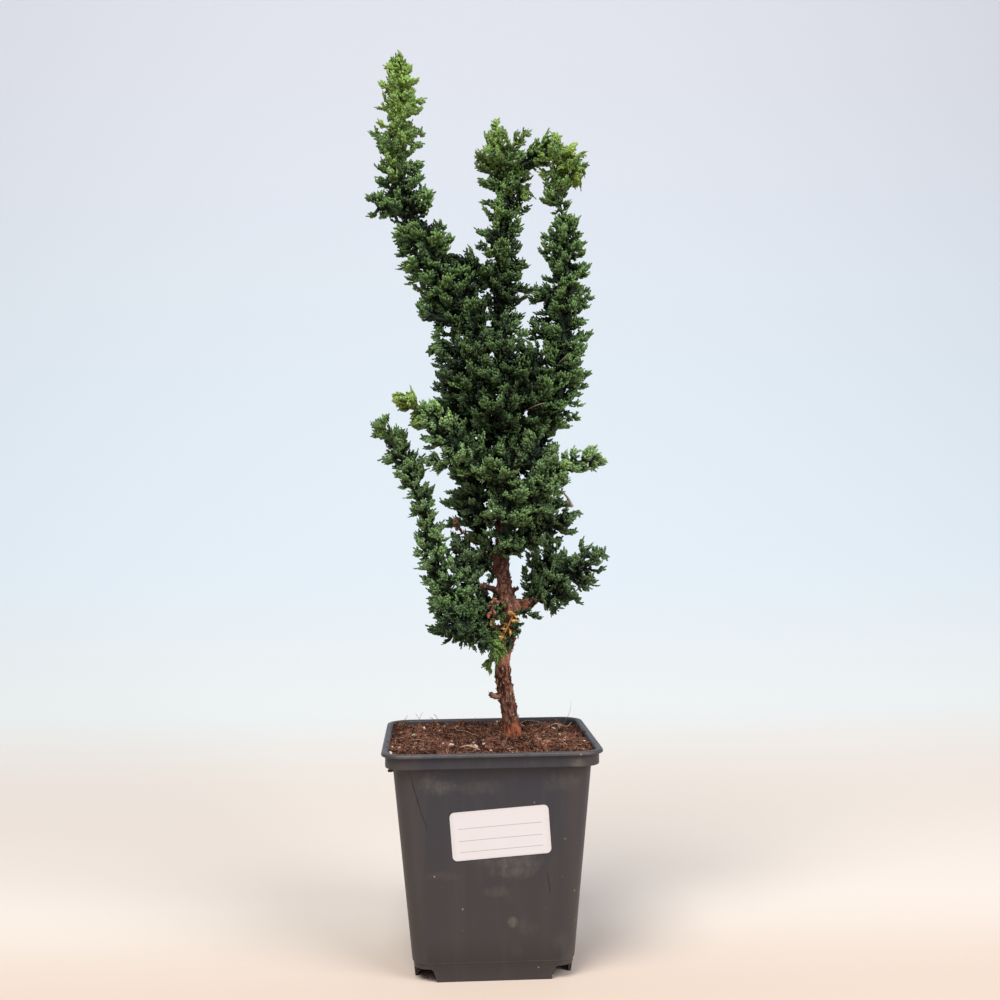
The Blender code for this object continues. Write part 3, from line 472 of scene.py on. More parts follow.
def label_mesh():
    """The sheet, placed, and pressed back onto the slightly hollow wall."""
    rings = []
    for z, inset in LABEL_RINGS:
        half = LABEL_HEIGHT / 2 - inset * MM
        radius = max(LABEL_CORNER - inset * MM, 0.3 * MM)
        ring = []
        for point in rounded_square(half, radius, z * LABEL_THICK / 2, 7, 6):
            share = min(max(point.x / (half - radius), -1), 1)
            point.x += share * (LABEL_WIDTH - LABEL_HEIGHT) / 2
            point = label_place() @ point
            along = point.x / (body_half(point.z) - BODY_CORNER)
            point.y += wall_bow(point.z) * (1 - along * along)
            ring.append(point)
        rings.append(ring)
    return loft(rings, "label_sheet")


def label_finish():
    paint = Finish("label_paper")
    place = label_place()
    x, y, _ = paint.axes(paint.node("ShaderNodeMapping", {
        "Vector": paint.place, "Location": place.translation, "Rotation": place.to_euler()},
        vector_type="TEXTURE"))
    lines = 0.0
    for height in LABEL_LINES:
        away = abs(y - height)
        lines = paint.rise(away, LINE_HALF_WIDTH * 1.3, LINE_HALF_WIDTH * 0.7) + lines
    margin = LABEL_WIDTH / 2 - LINE_MARGIN
    inside = paint.rise(abs(x), margin + 0.1 * MM, margin)
    wear_and_highlight = 0.75 + paint.cloud(0.0012) * 0.4
    squeezed = abs(x) * (LABEL_HEIGHT / LABEL_WIDTH)
    edge = paint.maths("MAXIMUM", squeezed, abs(y))
    soiled = paint.rise(edge, 0.0088, 0.0101) * paint.cloud(0.002)
    white = paint.layers(
        (0.640, 0.608, 0.615),
        (paint.cloud(0.009) * 0.5, (0.600, 0.568, 0.570)),
        (soiled * 0.5, (0.45, 0.41, 0.37)),
        (lines * inside * wear_and_highlight * 0.7, (0.16, 0.16, 0.18)))
    relief = paint.cloud(0.00035, 2) + paint.cloud(0.012, 1) * 2
    return paint.wear(white, 0.42 + paint.cloud(0.004) * 0.12, relief, 0.00003)


add_piece("label_sheet", label_mesh(), label_finish(), ["label"], "label_paper", smooth_below=20)


# Growing mix: moist red-brown peat and fine bark that fills the pot up to the collar. It is pressed
# firm by watering, higher round the trunk and sunken at the right-hand back corner.
TRUNK_FOOT = Vector((10.5 * MM, 1.0 * MM, 0))
FOOT_RADIUS = 4.2 * MM
FOOT_OVERLAP = 0.6 * MM
SOIL_TOP = 92.6 * MM
SOIL_RINGS = 34
SOIL_MOUND = 1.2 * MM
SOIL_MOUND_WIDTH = 14.0 * MM
SOIL_LOW_CORNER = 1.8 * MM
SOIL_LUMPS = 2.2 * MM
SOIL_PITS = 12.0 * MM
SOIL_GRAINS = 0.9 * MM
# Repeats of the lumps, pits and grains per metre, and how much of the pits' noise stays level
LUMP_REPEATS = 110
PIT_REPEATS = 150
PIT_FLOOR = 0.15
GRAIN_REPEATS = 420
SOIL_GAP = 0.1 * MM
SOIL_POINTS = (9, 22)
soil_edge = rounded_square(COLLAR_HALF - POT_WALL - SOIL_GAP, COLLAR_CORNER, 0, *SOIL_POINTS)


def soil_height(x, y):
    """Height of the mix: a mound at the trunk, low at one corner, with lumps and grains."""
    low_corner = max(0, x / COLLAR_HALF) * max(0, y / COLLAR_HALF)
    mound = SOIL_MOUND * math.exp(-((Vector((x, y, 0)) - TRUNK_FOOT).length / SOIL_MOUND_WIDTH) ** 2)
    lumps = SOIL_LUMPS * noise.noise(Vector((x * LUMP_REPEATS, y * LUMP_REPEATS, 3.1)))
    pits = max(0, noise.noise(Vector((x * PIT_REPEATS, y * PIT_REPEATS, 7.7))) - PIT_FLOOR)
    lumps -= SOIL_PITS * pits
    spot = Vector((x * GRAIN_REPEATS, y * GRAIN_REPEATS, 8.0))
    grains = SOIL_GRAINS * noise.turbulence(spot, 3, False)
    return SOIL_TOP + mound - SOIL_LOW_CORNER * low_corner + lumps + grains


def soil_rings():
    """Rings of the surface, from the trunk out to the pot's wall."""
    rings = []
    for number in range(SOIL_RINGS + 1):
        ring = []
        for point in soil_edge:
            start = TRUNK_FOOT + (point - TRUNK_FOOT).normalized() * (FOOT_RADIUS - FOOT_OVERLAP)
            spot = start.lerp(point, number / SOIL_RINGS)
            spot.z = soil_height(spot.x, spot.y)
            ring.append(spot)
        rings.append(ring)
    return rings


def soil_mesh():
    ledge = COLLAR_BOTTOM + POT_WALL + GAP
    surface = soil_rings()
    low_half = body_half(FLOOR_TOP) - POT_WALL - GAP
    neck_half = body_half(ledge) - POT_WALL - 2 * GAP
    walls = [
        rounded_square(low_half, BODY_CORNER, FLOOR_TOP + GAP, *SOIL_POINTS),
        rounded_square(neck_half, BODY_CORNER, ledge, *SOIL_POINTS),
        [Vector((point.x, point.y, ledge)) for point in soil_edge],
    ]
    return loft(walls + surface[::-1], "soil_bed")


def peat_finish(name, low, high, grain):
    """Crumbly matter between two colours, each bit with its own tint."""
    paint = Finish(name)
    own = paint.attribute("tint")
    mottle = paint.blots(0.3, 0.7, grain, 4, roughness=0.7)
    wet = paint.blots(0.58, 0.40, 0.0075, 2)
    specks = paint.blots(0.58, 0.72, grain * 0.4, 2)
    colour = paint.layers(
        low, (own * 0.6 + mottle * 0.4, high), (wet * 0.8, low), (specks * 0.7, (0.48, 0.32, 0.23)))
    relief = paint.cloud(grain * 0.5, 4)
    return paint.wear(colour, 0.78 + mottle * 0.2, relief, 0.0002, Specular_IOR_Level=0.1)


soil_surface = peat_finish("growing_mix", (0.010, 0.004, 0.003), (0.075, 0.028, 0.016), 0.0016)
add_piece("soil_bed", soil_mesh(), soil_surface, ["soil"], "growing_mix", smooth_below=180)


# Loose bits on the mix: peat crumbs, flat chips of bark, white grains of perlite that keep it airy, and
# fine roots and dry fibres that cross each other. All of them lie as they fell, partly sunk.
class Recipe(NodeSheet):
    """A Geometry Nodes tree with named inputs, and its use on a mesh."""

    def __init__(self, name, inputs):
        super().__init__(bpy.data.node_groups.new(name, "GeometryNodeTree"))
        self.tree.interface.new_socket("Geometry", in_out="OUTPUT", socket_type="NodeSocketGeometry")
        self.identifiers = {}
        for label, kind in {"Geometry": "Geometry", **inputs}.items():
            socket = self.tree.interface.new_socket(label, in_out="INPUT", socket_type="NodeSocket" + kind)
            self.identifiers[label] = socket.identifier
        self.entry = self.tree.nodes.new("NodeGroupInput")
        self.exit = self.tree.nodes.new("NodeGroupOutput")

    def given(self, label):
        return Value(self, self.entry.outputs[label])

    def random(self, low, high, number, kind="FLOAT"):
        """A random value for each element. Its seed is the tree's, shifted by a number of its own."""
        ends = {"FLOAT": (2, 3, 1), "INT": (4, 5, 2), "FLOAT_VECTOR": (0, 1, 0)}[kind]
        seed = self.given("Seed") + number
        inputs = {ends[0]: low, ends[1]: high, "Seed": seed}
        return self.node("FunctionNodeRandomValue", inputs, ends[2], data_type=kind)

    def store(self, geometry, name, value):
        inputs = {"Geometry": geometry, "Name": name, "Value": value}
        return self.node("GeometryNodeStoreNamedAttribute", inputs, data_type="FLOAT", domain="POINT")

    def stored(self, name):
        return self.node("GeometryNodeInputNamedAttribute", {"Name": name}, data_type="FLOAT")

    def vector(self, **parts):
        return self.node("ShaderNodeCombineXYZ", parts)

    def scaled(self, vector, size):
        return self.node("ShaderNodeVectorMath", {0: vector, "Scale": size}, operation="SCALE")

    def moved(self, geometry, **inputs):
        return self.node("GeometryNodeSetPosition", {"Geometry": geometry, **inputs})

    def spread(self):
        """Points strewn over the base mesh."""
        inputs = {"Mesh": "Geometry", "Density": "Per square metre", "Seed": "Seed"}
        inputs = {name: self.given(label) for name, label in inputs.items()}
        return self.node("GeometryNodeDistributePointsOnFaces", inputs, distribute_method="RANDOM")

    def shapes(self, label):
        inputs = {"Collection": self.given(label), "Separate Children": True, "Reset Children": True}
        return self.node("GeometryNodeCollectionInfo", inputs)

    def placed(self, points, shapes, **inputs):
        """One of the shapes on each point."""
        inputs = {name.replace("_", " "): value for name, value in inputs.items()}
        inputs = {"Points": points, "Instance": shapes, "Pick Instance": True, **inputs}
        return self.node("GeometryNodeInstanceOnPoints", inputs)

    def real(self, geometry):
        return self.node("GeometryNodeRealizeInstances", {"Geometry": geometry})

    def coated(self, geometry, label="Finish"):
        inputs = {"Geometry": geometry, "Material": self.given(label)}
        return self.node("GeometryNodeSetMaterial", inputs)

    def joined(self, first, *others):
        """Geometry put together, in the order that it is given."""
        joint = self.node("GeometryNodeJoinGeometry", {0: first})
        for other in others:
            self.plug(joint.socket.node.inputs[0], other)
        return joint

    def strew(self, points, turn):
        """Ends the tree with a shape on each point, in a size and with a tint of its own."""
        tinted = self.store(points, "tint", self.random(0.0, 1.0, 1))
        size = self.random(self.given("Smallest"), self.given("Largest"), 3)
        pick = self.random(0, 9, 4, "INT")
        bits = self.placed(tinted, self.shapes("Shapes"), Instance_Index=pick, Rotation=turn, Scale=size)
        self.end(self.coated(self.real(bits)))

    def end(self, geometry):
        self.plug(self.exit.inputs[0], geometry)

    def mesh(self, base, name, given):
        """What the tree makes of a base mesh, as a plain mesh."""
        carrier = new_object(name, base)
        nodes = carrier.modifiers.new("recipe", "NODES")
        nodes.node_group = self.tree
        for label, value in given.items():
            nodes[self.identifiers[label]] = value
        made = evaluated_mesh(carrier)
        carrier.modifiers.remove(nodes)
        bpy.data.objects.remove(carrier)
        made.name = name
        return made


STREW_INPUTS = {
    "Shapes": "Collection", "Per square metre": "Float", "Smallest": "Float", "Largest": "Float",
    "Seed": "Int", "Finish": "Material"}


def scatter_recipe():
    """Shapes of a collection strewn over a surface, turned about, tilted and partly sunk."""
    recipe = Recipe("strewn_bits", {**STREW_INPUTS, "Tilt": "Float", "Sink": "Float"})
    sunk = recipe.moved(recipe.spread(), Offset=recipe.vector(Z=recipe.given("Sink") * -1))
    tilt = recipe.given("Tilt")
    least = recipe.vector(X=tilt * -1, Y=tilt * -1)
    most = recipe.vector(X=tilt, Y=tilt, Z=2 * math.pi)
    turn = recipe.random(least, most, 2, "FLOAT_VECTOR")
    recipe.strew(sunk, recipe.node("FunctionNodeEulerToRotation", {0: turn}))
    return recipe


def shape_set(name, meshes):
    """A collection of shapes for a recipe to pick from. It stays out of the scene."""
    shapes = bpy.data.collections.new(name)
    for number, mesh in enumerate(meshes):
        shapes.objects.link(bpy.data.objects.new(f"{name}_{number:02d}", mesh))
    return shapes


def lump(stretch, unevenness, seed, subdivisions):
    """An uneven grain, one unit wide before it is stretched."""
    bm = bmesh.new()
    bmesh.ops.create_icosphere(bm, subdivisions=subdivisions, radius=0.5)
    for vertex in bm.verts:
        bulge = 1 + unevenness * noise.noise(vertex.co * 4 + Vector((seed * 7.3, seed * 1.9, 0)))
        vertex.co = Vector((a * b for a, b in zip(vertex.co * bulge, stretch)))
    return mesh_from(bm, "lump")


def rod(points, sides, name):
    """A round stem through (x, y, z, radius) points, as a bevelled curve made into a mesh."""
    curve = bpy.data.curves.new(name, "CURVE")
    curve.dimensions = "3D"
    curve.bevel_depth = 1
    curve.bevel_resolution = (sides - 4) // 2
    curve.use_fill_caps = True
    spline = curve.splines.new("POLY")
    spline.points.add(len(points) - 1)
    for place, point in zip(spline.points, points):
        place.co = (*point[:3], 1)
        place.radius = point[3]
    guide = new_object(name, curve)
    mesh = evaluated_mesh(guide)
    bpy.data.objects.remove(guide)
    return mesh


def fibre(length, thickness, wander, seed, steps=5):
    """A thin curved root or thread that starts at the origin and wanders along X."""
    draws = random.Random(seed)
    points = []
    heading = Vector((1, 0, 0))
    place = Vector((-length / 2, 0, 0))
    for step in range(steps + 1):
        points.append((*place, thickness / 2 * (1 - 0.6 * step / steps)))
        turn = Vector((0, draws.uniform(-wander, wander), draws.uniform(-wander, wander) * 0.6))
        heading = (heading + turn).normalized()
        place = place + heading * length / steps
    return rod(points, 4, "fibre")


strewn = scatter_recipe()
soil_cover = loft(soil_rings(), "soil_cover", capped=False)
soil_cover.flip_normals()
crumbs = shape_set("crumb", [
    lump((1, 0.75 + 0.05 * seed, 0.6), unevenness=0.9, seed=seed, subdivisions=1) for seed in range(6)])
chips = shape_set("chip", [
    lump((1, 0.45 + 0.06 * seed, 0.2), unevenness=0.8, seed=seed + 20, subdivisions=1) for seed in range(6)])
grains = shape_set("perlite_grain", [
    lump((1, 0.85, 0.8), unevenness=0.7, seed=seed + 40, subdivisions=2) for seed in range(4)])
threads = shape_set("thread", [
    fibre(length=1.0, thickness=0.07, wander=0.80, seed=seed + 60) for seed in range(8)])
dark_peat = peat_finish("peat_crumbs", (0.011, 0.0035, 0.002), (0.200, 0.075, 0.046), 0.0009)
bark_chip = peat_finish("bark_chips", (0.050, 0.018, 0.010), (0.420, 0.240, 0.150), 0.0012)
perlite = peat_finish("perlite", (0.36, 0.26, 0.18), (0.70, 0.61, 0.50), 0.0010)
dry_fibre = peat_finish("dry_fibres", (0.060, 0.020, 0.011), (0.370, 0.175, 0.105), 0.0020)
straw = peat_finish("straw", (0.27, 0.17, 0.11), (0.56, 0.43, 0.31), 0.0030)
# Name, shapes, how many per square metre, smallest and largest mm, tilt, sink in mm, finish and seed
STREWN = [
    ("peat_crumbs", crumbs, 340000, 0.7, 3.2, 3.0, 0.2, dark_peat, 11),
    ("bark_chips", chips, 52000, 1.2, 3.8, 0.9, 0.0, bark_chip, 23),
    ("perlite_grains", grains, 10500, 0.7, 2.6, 3.0, 0.0, perlite, 35),
    ("fine_roots", threads, 140000, 2.6, 7.6, 0.6, -0.6, dry_fibre, 47),
]
for name, shapes, density, smallest, largest, tilt, sink, finish, seed in STREWN:
    bits = strewn.mesh(soil_cover, name, {
        "Shapes": shapes, "Per square metre": float(density), "Smallest": smallest * MM,
        "Largest": largest * MM, "Tilt": tilt, "Sink": sink * MM, "Seed": seed, "Finish": finish})
    add_piece(name, bits, None, slot="growing_mix")


# Long threads: dry stalks and roots that lie across the mix or stand up past the lip, left from older
# plants, and the roots that have grown out of a drain hole under the front left corner.
STALKS = [
    [(-38, 33, 93, 0.12), (-37, 33, 96, 0.12), (-35.5, 32, 98.2, 0.06)],
    [(-31, 36, 93, 0.12), (-30, 36, 96.5, 0.11), (-28.5, 37, 99.0, 0.06)],
    [(-30, 36, 95.5, 0.10), (-32, 36, 98.4, 0.06)],
    [(-23, 34, 93, 0.14), (-22, 33, 96.5, 0.12), (-23.5, 33, 98.5, 0.12)],
    [(-13, 8, 95, 0.14), (-10, 4, 95.5, 0.13), (-7, -1, 94.8, 0.1), (-4, -3, 94.6, 0.06)],
    [(-13, 8, 95, 0.16), (-14.5, 7, 96.2, 0.16), (-13, 10, 96.8, 0.1)],
    [(-13, -30, 94.4, 0.3), (-10, -32, 95.4, 0.55), (-7, -34.5, 95.0, 0.5), (-5, -36, 94.4, 0.2)],
    [(34, 26, 92, 0.10), (37, 25, 97, 0.09), (38.5, 24, 101, 0.06), (38.8, 24, 104.5, 0.03)],
    [(26, 20, 93, 0.2), (31, 18, 95.5, 0.22), (36, 19, 94, 0.2), (38.5, 21, 95.5, 0.12)],
    [(22, -18, 94.5, 0.16), (28, -23, 96, 0.14), (31, -29, 94.4, 0.1)],
    [(-34, -12, 94.6, 0.12), (-30, -15, 95.4, 0.12), (-27, -15, 94.6, 0.08)],
    [(14, 24, 94, 0.14), (19, 29, 95.5, 0.12), (26, 31, 94, 0.1)],
]
DRAIN_ROOTS = [
    [(-22, -23, 7.0, 0.35), (-24, -26, 3.6, 0.30), (-28, -28, 1.4, 0.20), (-31, -29, 2.2, 0.1)],
    [(-21, -21, 7.0, 0.30), (-23, -27, 4.6, 0.26), (-25, -30, 2.4, 0.2), (-24, -32, 0.6, 0.1)],
    [(-23, -22, 7.0, 0.30), (-27, -25, 5.0, 0.26), (-30, -26, 3.4, 0.2), (-32, -24, 1.0, 0.1)],
    [(-20, -22, 7.0, 0.26), (-22, -29, 3.0, 0.22), (-27, -31, 1.0, 0.12)],
    [(22, -21, 7.0, 0.25), (25, -26, 4.6, 0.22), (29, -28, 4.0, 0.1)],
]
STRAND_STEP = 1.2 * MM
STRAND_SIDES = 6
STRAND_SMOOTH = 60


def smooth_route(route, step):
    """Samples of a smooth curve through (x, y, z, r) points in mm, in metres, about a step apart."""
    points = [Vector(point) * MM for point in route]
    points = [2 * points[0] - points[1]] + points + [2 * points[-1] - points[-2]]
    samples = []
    for a, b, c, d in zip(points, points[1:], points[2:], points[3:]):
        count = max(2, round((c - b).xyz.length / step))
        for number in range(count):
            t = number / count
            samples.append(0.5 * (
                2 * b + (c - a) * t + (2 * a - 5 * b + 4 * c - d) * t * t
                + (3 * b - a - 3 * c + d) * t ** 3))
    samples.append(points[-2])
    return samples


def joined(meshes, name):
    bm = bmesh.new()
    for mesh in meshes:
        bm.from_mesh(mesh)
    bmesh.ops.remove_doubles(bm, verts=bm.verts, dist=0.001 * MM)
    bmesh.ops.recalc_face_normals(bm, faces=bm.faces)
    return mesh_from(bm, name)


def add_strands(name, routes, finish, slot):
    strands = [rod(smooth_route(route, STRAND_STEP), STRAND_SIDES, name) for route in routes]
    add_piece(name, joined(strands, name), finish, slot=slot, smooth_below=STRAND_SMOOTH)


for name, routes, finish in (("dry_stalks", STALKS, straw), ("drain_roots", DRAIN_ROOTS, dry_fibre)):
    add_strands(name, routes, finish, "growing_mix")


# Trunk and limbs: one grown piece of wood, rooted in the mix. Its red-brown bark flakes off in small
# lengthwise plates, some worn pale. It has peeled off half way up, lies dark in the crown's shade, and is
# smoother and orange at the foot, where the mix kept it moist.
TRUNK_ROUTE = [
    (10.5, 1, 81.5, 4.1), (10.5, 1, 88, 4.1), (10.5, 1, 94, 4.2), (9.9, 1, 99, 3.7), (8.6, 1, 107, 3.4),
    (7.2, 0.5, 115, 3.3), (6.4, 0, 122, 3.3), (7.2, 0, 129, 3.0), (8.7, 0, 136, 3.3), (9.3, 0, 143, 3.6),
    (9.3, 0, 150, 3.9), (7.9, 0.2, 156, 3.3), (7.3, 0.4, 162, 3.0), (6.4, 1, 168, 3.5), (6.9, 2, 177, 2.9),
    (8.2, 3, 196, 2.8), (9.4, 3, 209, 2.9),
]
LIMB_ROUTES = [
    [(9.4, 3, 206, 2.4), (8, 3, 219, 2.3), (5, 3, 233, 2.1), (1, 2, 249, 1.9), (-2, 1, 262, 1.7)],
    [(9.4, 3, 208, 2.3), (10, 5.5, 220, 2.1), (10, 8.5, 235, 1.9), (9, 10, 250, 1.8), (7.5, 9.5, 269, 1.6)],
    [(9, 3, 202, 2.2), (13, 2, 211, 2.1), (18, 0.6, 218, 1.9), (24, -0.8, 225.5, 1.8)],
    [(9, 0, 150.5, 3.4), (13, -0.6, 149.4, 3.5), (17, -1.2, 150.2, 2.8), (20.5, -1.8, 152.2, 1.6),
     (25, -2.6, 154.4, 1.0)],
    [(8.2, 0, 154.5, 1.9), (4, -0.6, 156.6, 1.5), (0, -1.4, 158.2, 1.3), (-3.5, -2, 158.8, 0.9)],
    [(8.0, -0.6, 138, 2.0), (3, -3, 140.5, 1.8), (-4, -5, 143.5, 1.5), (-10, -6.5, 146.5, 1.3)],
    [(6.4, 0.2, 112, 1.0), (3.4, -0.6, 110.6, 0.9), (1.6, -1.0, 111.6, 1.3), (0.8, -1.2, 112.8, 0.7)],
    [(8.6, -0.4, 155, 1.2), (12.4, -0.8, 157.2, 0.9), (14.2, -1.0, 157.4, 0.5)],
]
WOOD_STEP = 1.5 * MM
WOOD_SIDES = 12
WOOD_VOXEL = 0.6 * MM
BARK_RIDGES = 0.30 * MM
BARK_PLATES = 0.4 * MM
FOOT_TOP = 101 * MM
FOOT_EASE = 6 * MM
FOOT_ROUGH = 0.25
PLATE_EDGE = 0.35
# Repeats of the ridges and plates per metre, across and along the wood
RIDGE_REPEATS = (330, 75)
PLATE_REPEATS = (560, 260)


def wood_mesh():
    """Trunk and limbs melted into one skin, then roughened into ridges and plates of bark."""
    stems = [
        rod(smooth_route(route, WOOD_STEP), WOOD_SIDES, "stem") for route in [TRUNK_ROUTE, *LIMB_ROUTES]]
    rough = new_object("rough_wood", joined(stems, "rough_wood"))
    melt = rough.modifiers.new("melt", "REMESH")
    melt.mode = "VOXEL"
    melt.voxel_size = WOOD_VOXEL
    wood = evaluated_mesh(rough)
    bpy.data.objects.remove(rough)
    for vertex in wood.vertices:
        co = vertex.co
        across, along = RIDGE_REPEATS
        ridges = noise.noise(Vector((co.x * across, co.y * across, co.z * along)))
        across, along = PLATE_REPEATS
        near, far = noise.voronoi(Vector((co.x * across, co.y * across, co.z * along)))[0][:2]
        plates = min(far - near, PLATE_EDGE) / PLATE_EDGE - 0.5
        bare = min(max((co.z - FOOT_TOP) / FOOT_EASE, FOOT_ROUGH), 1)
        vertex.co = co + vertex.normal * bare * (BARK_RIDGES * ridges + BARK_PLATES * plates)
    return wood


def bark_finish(name, loose=0.0):
    """Bark in small lengthwise plates, some worn pale. Loose plates are paler still."""
    paint = Finish(name)
    z = paint.height()
    fibres = paint.blots(0.32, 0.68, 1, 4, paint.stretched(620, 170), 0.65)
    plate = paint.axes(paint.cells(1, paint.stretched(760, 330)).out("Color"))[0]
    own = paint.attribute("tint")
    tone = paint.maths("MINIMUM", plate * (1 - loose) + own * loose, 1.0)
    mixed = paint.rise(fibres * 0.5 + tone * 0.5, 0.15, 0.85)
    flecks = paint.blots(0.58, 0.67, 1, 3, paint.stretched(950, 420))
    middle = 0.45 + paint.rise(z, 0.100, 0.106) * paint.rise(z, 0.136, 0.122) * 0.5
    foot = paint.rise(z, 0.104, 0.0965)
    orange = paint.blend(fibres, (0.090, 0.020, 0.008), (0.400, 0.115, 0.042))
    low = paint.rise(z, 0.112, 0.104) * paint.rise(z, 0.0965, 0.1005)
    shaded = paint.rise(z, 0.147, 0.158) * 0.66 + low * 0.30
    peeled = paint.rise(z, 0.1235, 0.1260) * paint.rise(z, 0.1315, 0.1290)
    colour = paint.layers(
        (0.027, 0.0075, 0.005),
        (mixed, (0.230, 0.078, 0.046)),
        (paint.rise(tone, 0.62, 0.95) * 0.5, (0.400, 0.225, 0.145)),
        (paint.rise(tone, 0.30, 0.05) * 0.6, (0.045, 0.014, 0.010)),
        (paint.blots(0.50, 0.66, 0.0045, 2) * 0.4, (0.200, 0.105, 0.075)),
        (flecks * middle, (0.60, 0.45, 0.37)),
        (foot * 0.8, orange),
        (shaded, (0.024, 0.0075, 0.005)),
        (peeled * (0.3 + fibres * 0.5), (0.400, 0.165, 0.110)))
    relief = fibres + tone * 1.5 + paint.cloud(0.0008, 3) * 0.6
    return paint.wear(colour, 0.72 + fibres * 0.2, relief, 0.00025, Specular_IOR_Level=0.2)


bark = bark_finish("bark")
wood = wood_mesh()
add_piece("trunk_wood", wood, bark, ["trunk"], "bark", smooth_below=180)


# Bark flakes: thin curled plates of old bark, red-brown and often worn pale. They lift off the trunk and
# limbs lengthwise, with their upper edges free.
FLAKES_PER_AREA = 300000.0
FLAKE_SIZES = (0.7 * MM, 2.0 * MM)
FLAKES_FROM = 97 * MM
FLAKE_THICK = 0.07
FLAKE_PALE = 0.7


def flake(seed):
    """A curled plate one unit long, lifted at its upper end."""
    draws = random.Random(seed)
    bm = bmesh.new()
    bmesh.ops.create_grid(bm, x_segments=3, y_segments=2, size=0.5)
    for vertex in bm.verts:
        x, y, _ = vertex.co
        lift = 0.30 * (x + 0.5) ** 2 - 0.35 * y * y + draws.uniform(-0.05, 0.05)
        vertex.co = Vector((x + draws.uniform(-0.08, 0.08), y * draws.uniform(0.35, 0.6), lift))
    skin = bmesh.ops.extrude_face_region(bm, geom=bm.faces[:])["geom"]
    bmesh.ops.translate(bm, vec=(0, 0, FLAKE_THICK), verts=[
        part for part in skin if isinstance(part, bmesh.types.BMVert)])
    bmesh.ops.recalc_face_normals(bm, faces=bm.faces)
    return mesh_from(bm, "flake")


def flake_recipe():
    """Plates on the wood, flat against it, pointing up and lifted a little."""
    recipe = Recipe("bark_flakes", {**STREW_INPUTS, "Lowest": "Float"})
    spread = recipe.spread()
    height = recipe.axes(recipe.node("GeometryNodeInputPosition"))[2]
    above = recipe.node(
        "FunctionNodeCompare", {0: height, 1: recipe.given("Lowest")},
        data_type="FLOAT", operation="GREATER_THAN")
    kept = recipe.node(
        "GeometryNodeSeparateGeometry", {"Geometry": spread, "Selection": above}, domain="POINT")
    jitter = recipe.random((-0.35, -0.35, 0.6), (0.35, 0.35, 1.4), 2, "FLOAT_VECTOR")
    recipe.strew(kept, recipe.node(
        "FunctionNodeAxesToRotation", {0: spread.out("Normal"), 1: jitter},
        primary_axis="Z", secondary_axis="X"))
    return recipe


flakes = flake_recipe().mesh(wood, "bark_flakes", {
    "Shapes": shape_set("flake", [flake(seed) for seed in range(8)]), "Per square metre": FLAKES_PER_AREA,
    "Smallest": FLAKE_SIZES[0], "Largest": FLAKE_SIZES[1], "Lowest": FLAKES_FROM, "Seed": 5,
    "Finish": bark_finish("bark_flakes", FLAKE_PALE)})
add_piece("bark_flakes", flakes, None, slot="bark")


# Leaf fans: the smallest twigs are ropes of tiny blunt scale leaves that clasp the stem in crossed pairs.
# Six of them beside a seventh make a little hand, and hands in two rows on an older rope a cupped fan.
ROPE_LENGTH = 2.3 * MM
ROPE_WIDTH = 1.18 * MM
ROPE_RINGS = [(0.0, 0.66), (0.80, 1.26)]
ROPE_SIDES = 3
HAND_LENGTH = 3.4 * MM
HANDS = 4
FAN_LENGTHS = [5.6 * MM, 7.6 * MM, 9.8 * MM, 12.0 * MM]
FAN_SHAPES = 2
FIRST_PART = 0.06
PARTS_SPAN = 0.72
MIDDLE_SPAN = 0.86
TIP_OVERLAP = 0.9


def leaf_rope():
    """A rope of scale leaves along X: rings that each turn half a side, and a blunt tip."""
    bm = bmesh.new()
    grown = bm.verts.layers.float.new("tip")
    rows = []
    for number, (along, swell) in enumerate(ROPE_RINGS):
        ring = []
        for side in range(ROPE_SIDES):
            angle = (side + 0.5 * number) * 2 * math.pi / ROPE_SIDES
            half = ROPE_WIDTH / 2 * swell
            spot = (along * ROPE_LENGTH, half * math.cos(angle), 0.9 * half * math.sin(angle))
            ring.append(bm.verts.new(spot))
            ring[-1][grown] = along
        rows.append(ring)
    end = bm.verts.new((ROPE_LENGTH, 0, 0))
    end[grown] = 1.0
    low, high = rows
    for i in range(ROPE_SIDES):
        j = (i + 1) % ROPE_SIDES
        bm.faces.new((low[i], low[j], high[i]))
        bm.faces.new((low[j], high[j], high[i]))
    for i in range(ROPE_SIDES):
        bm.faces.new((high[i], high[(i + 1) % ROPE_SIDES], end))
    for face in bm.faces:
        face.smooth = True
    return mesh_from(bm, "leaf_rope")


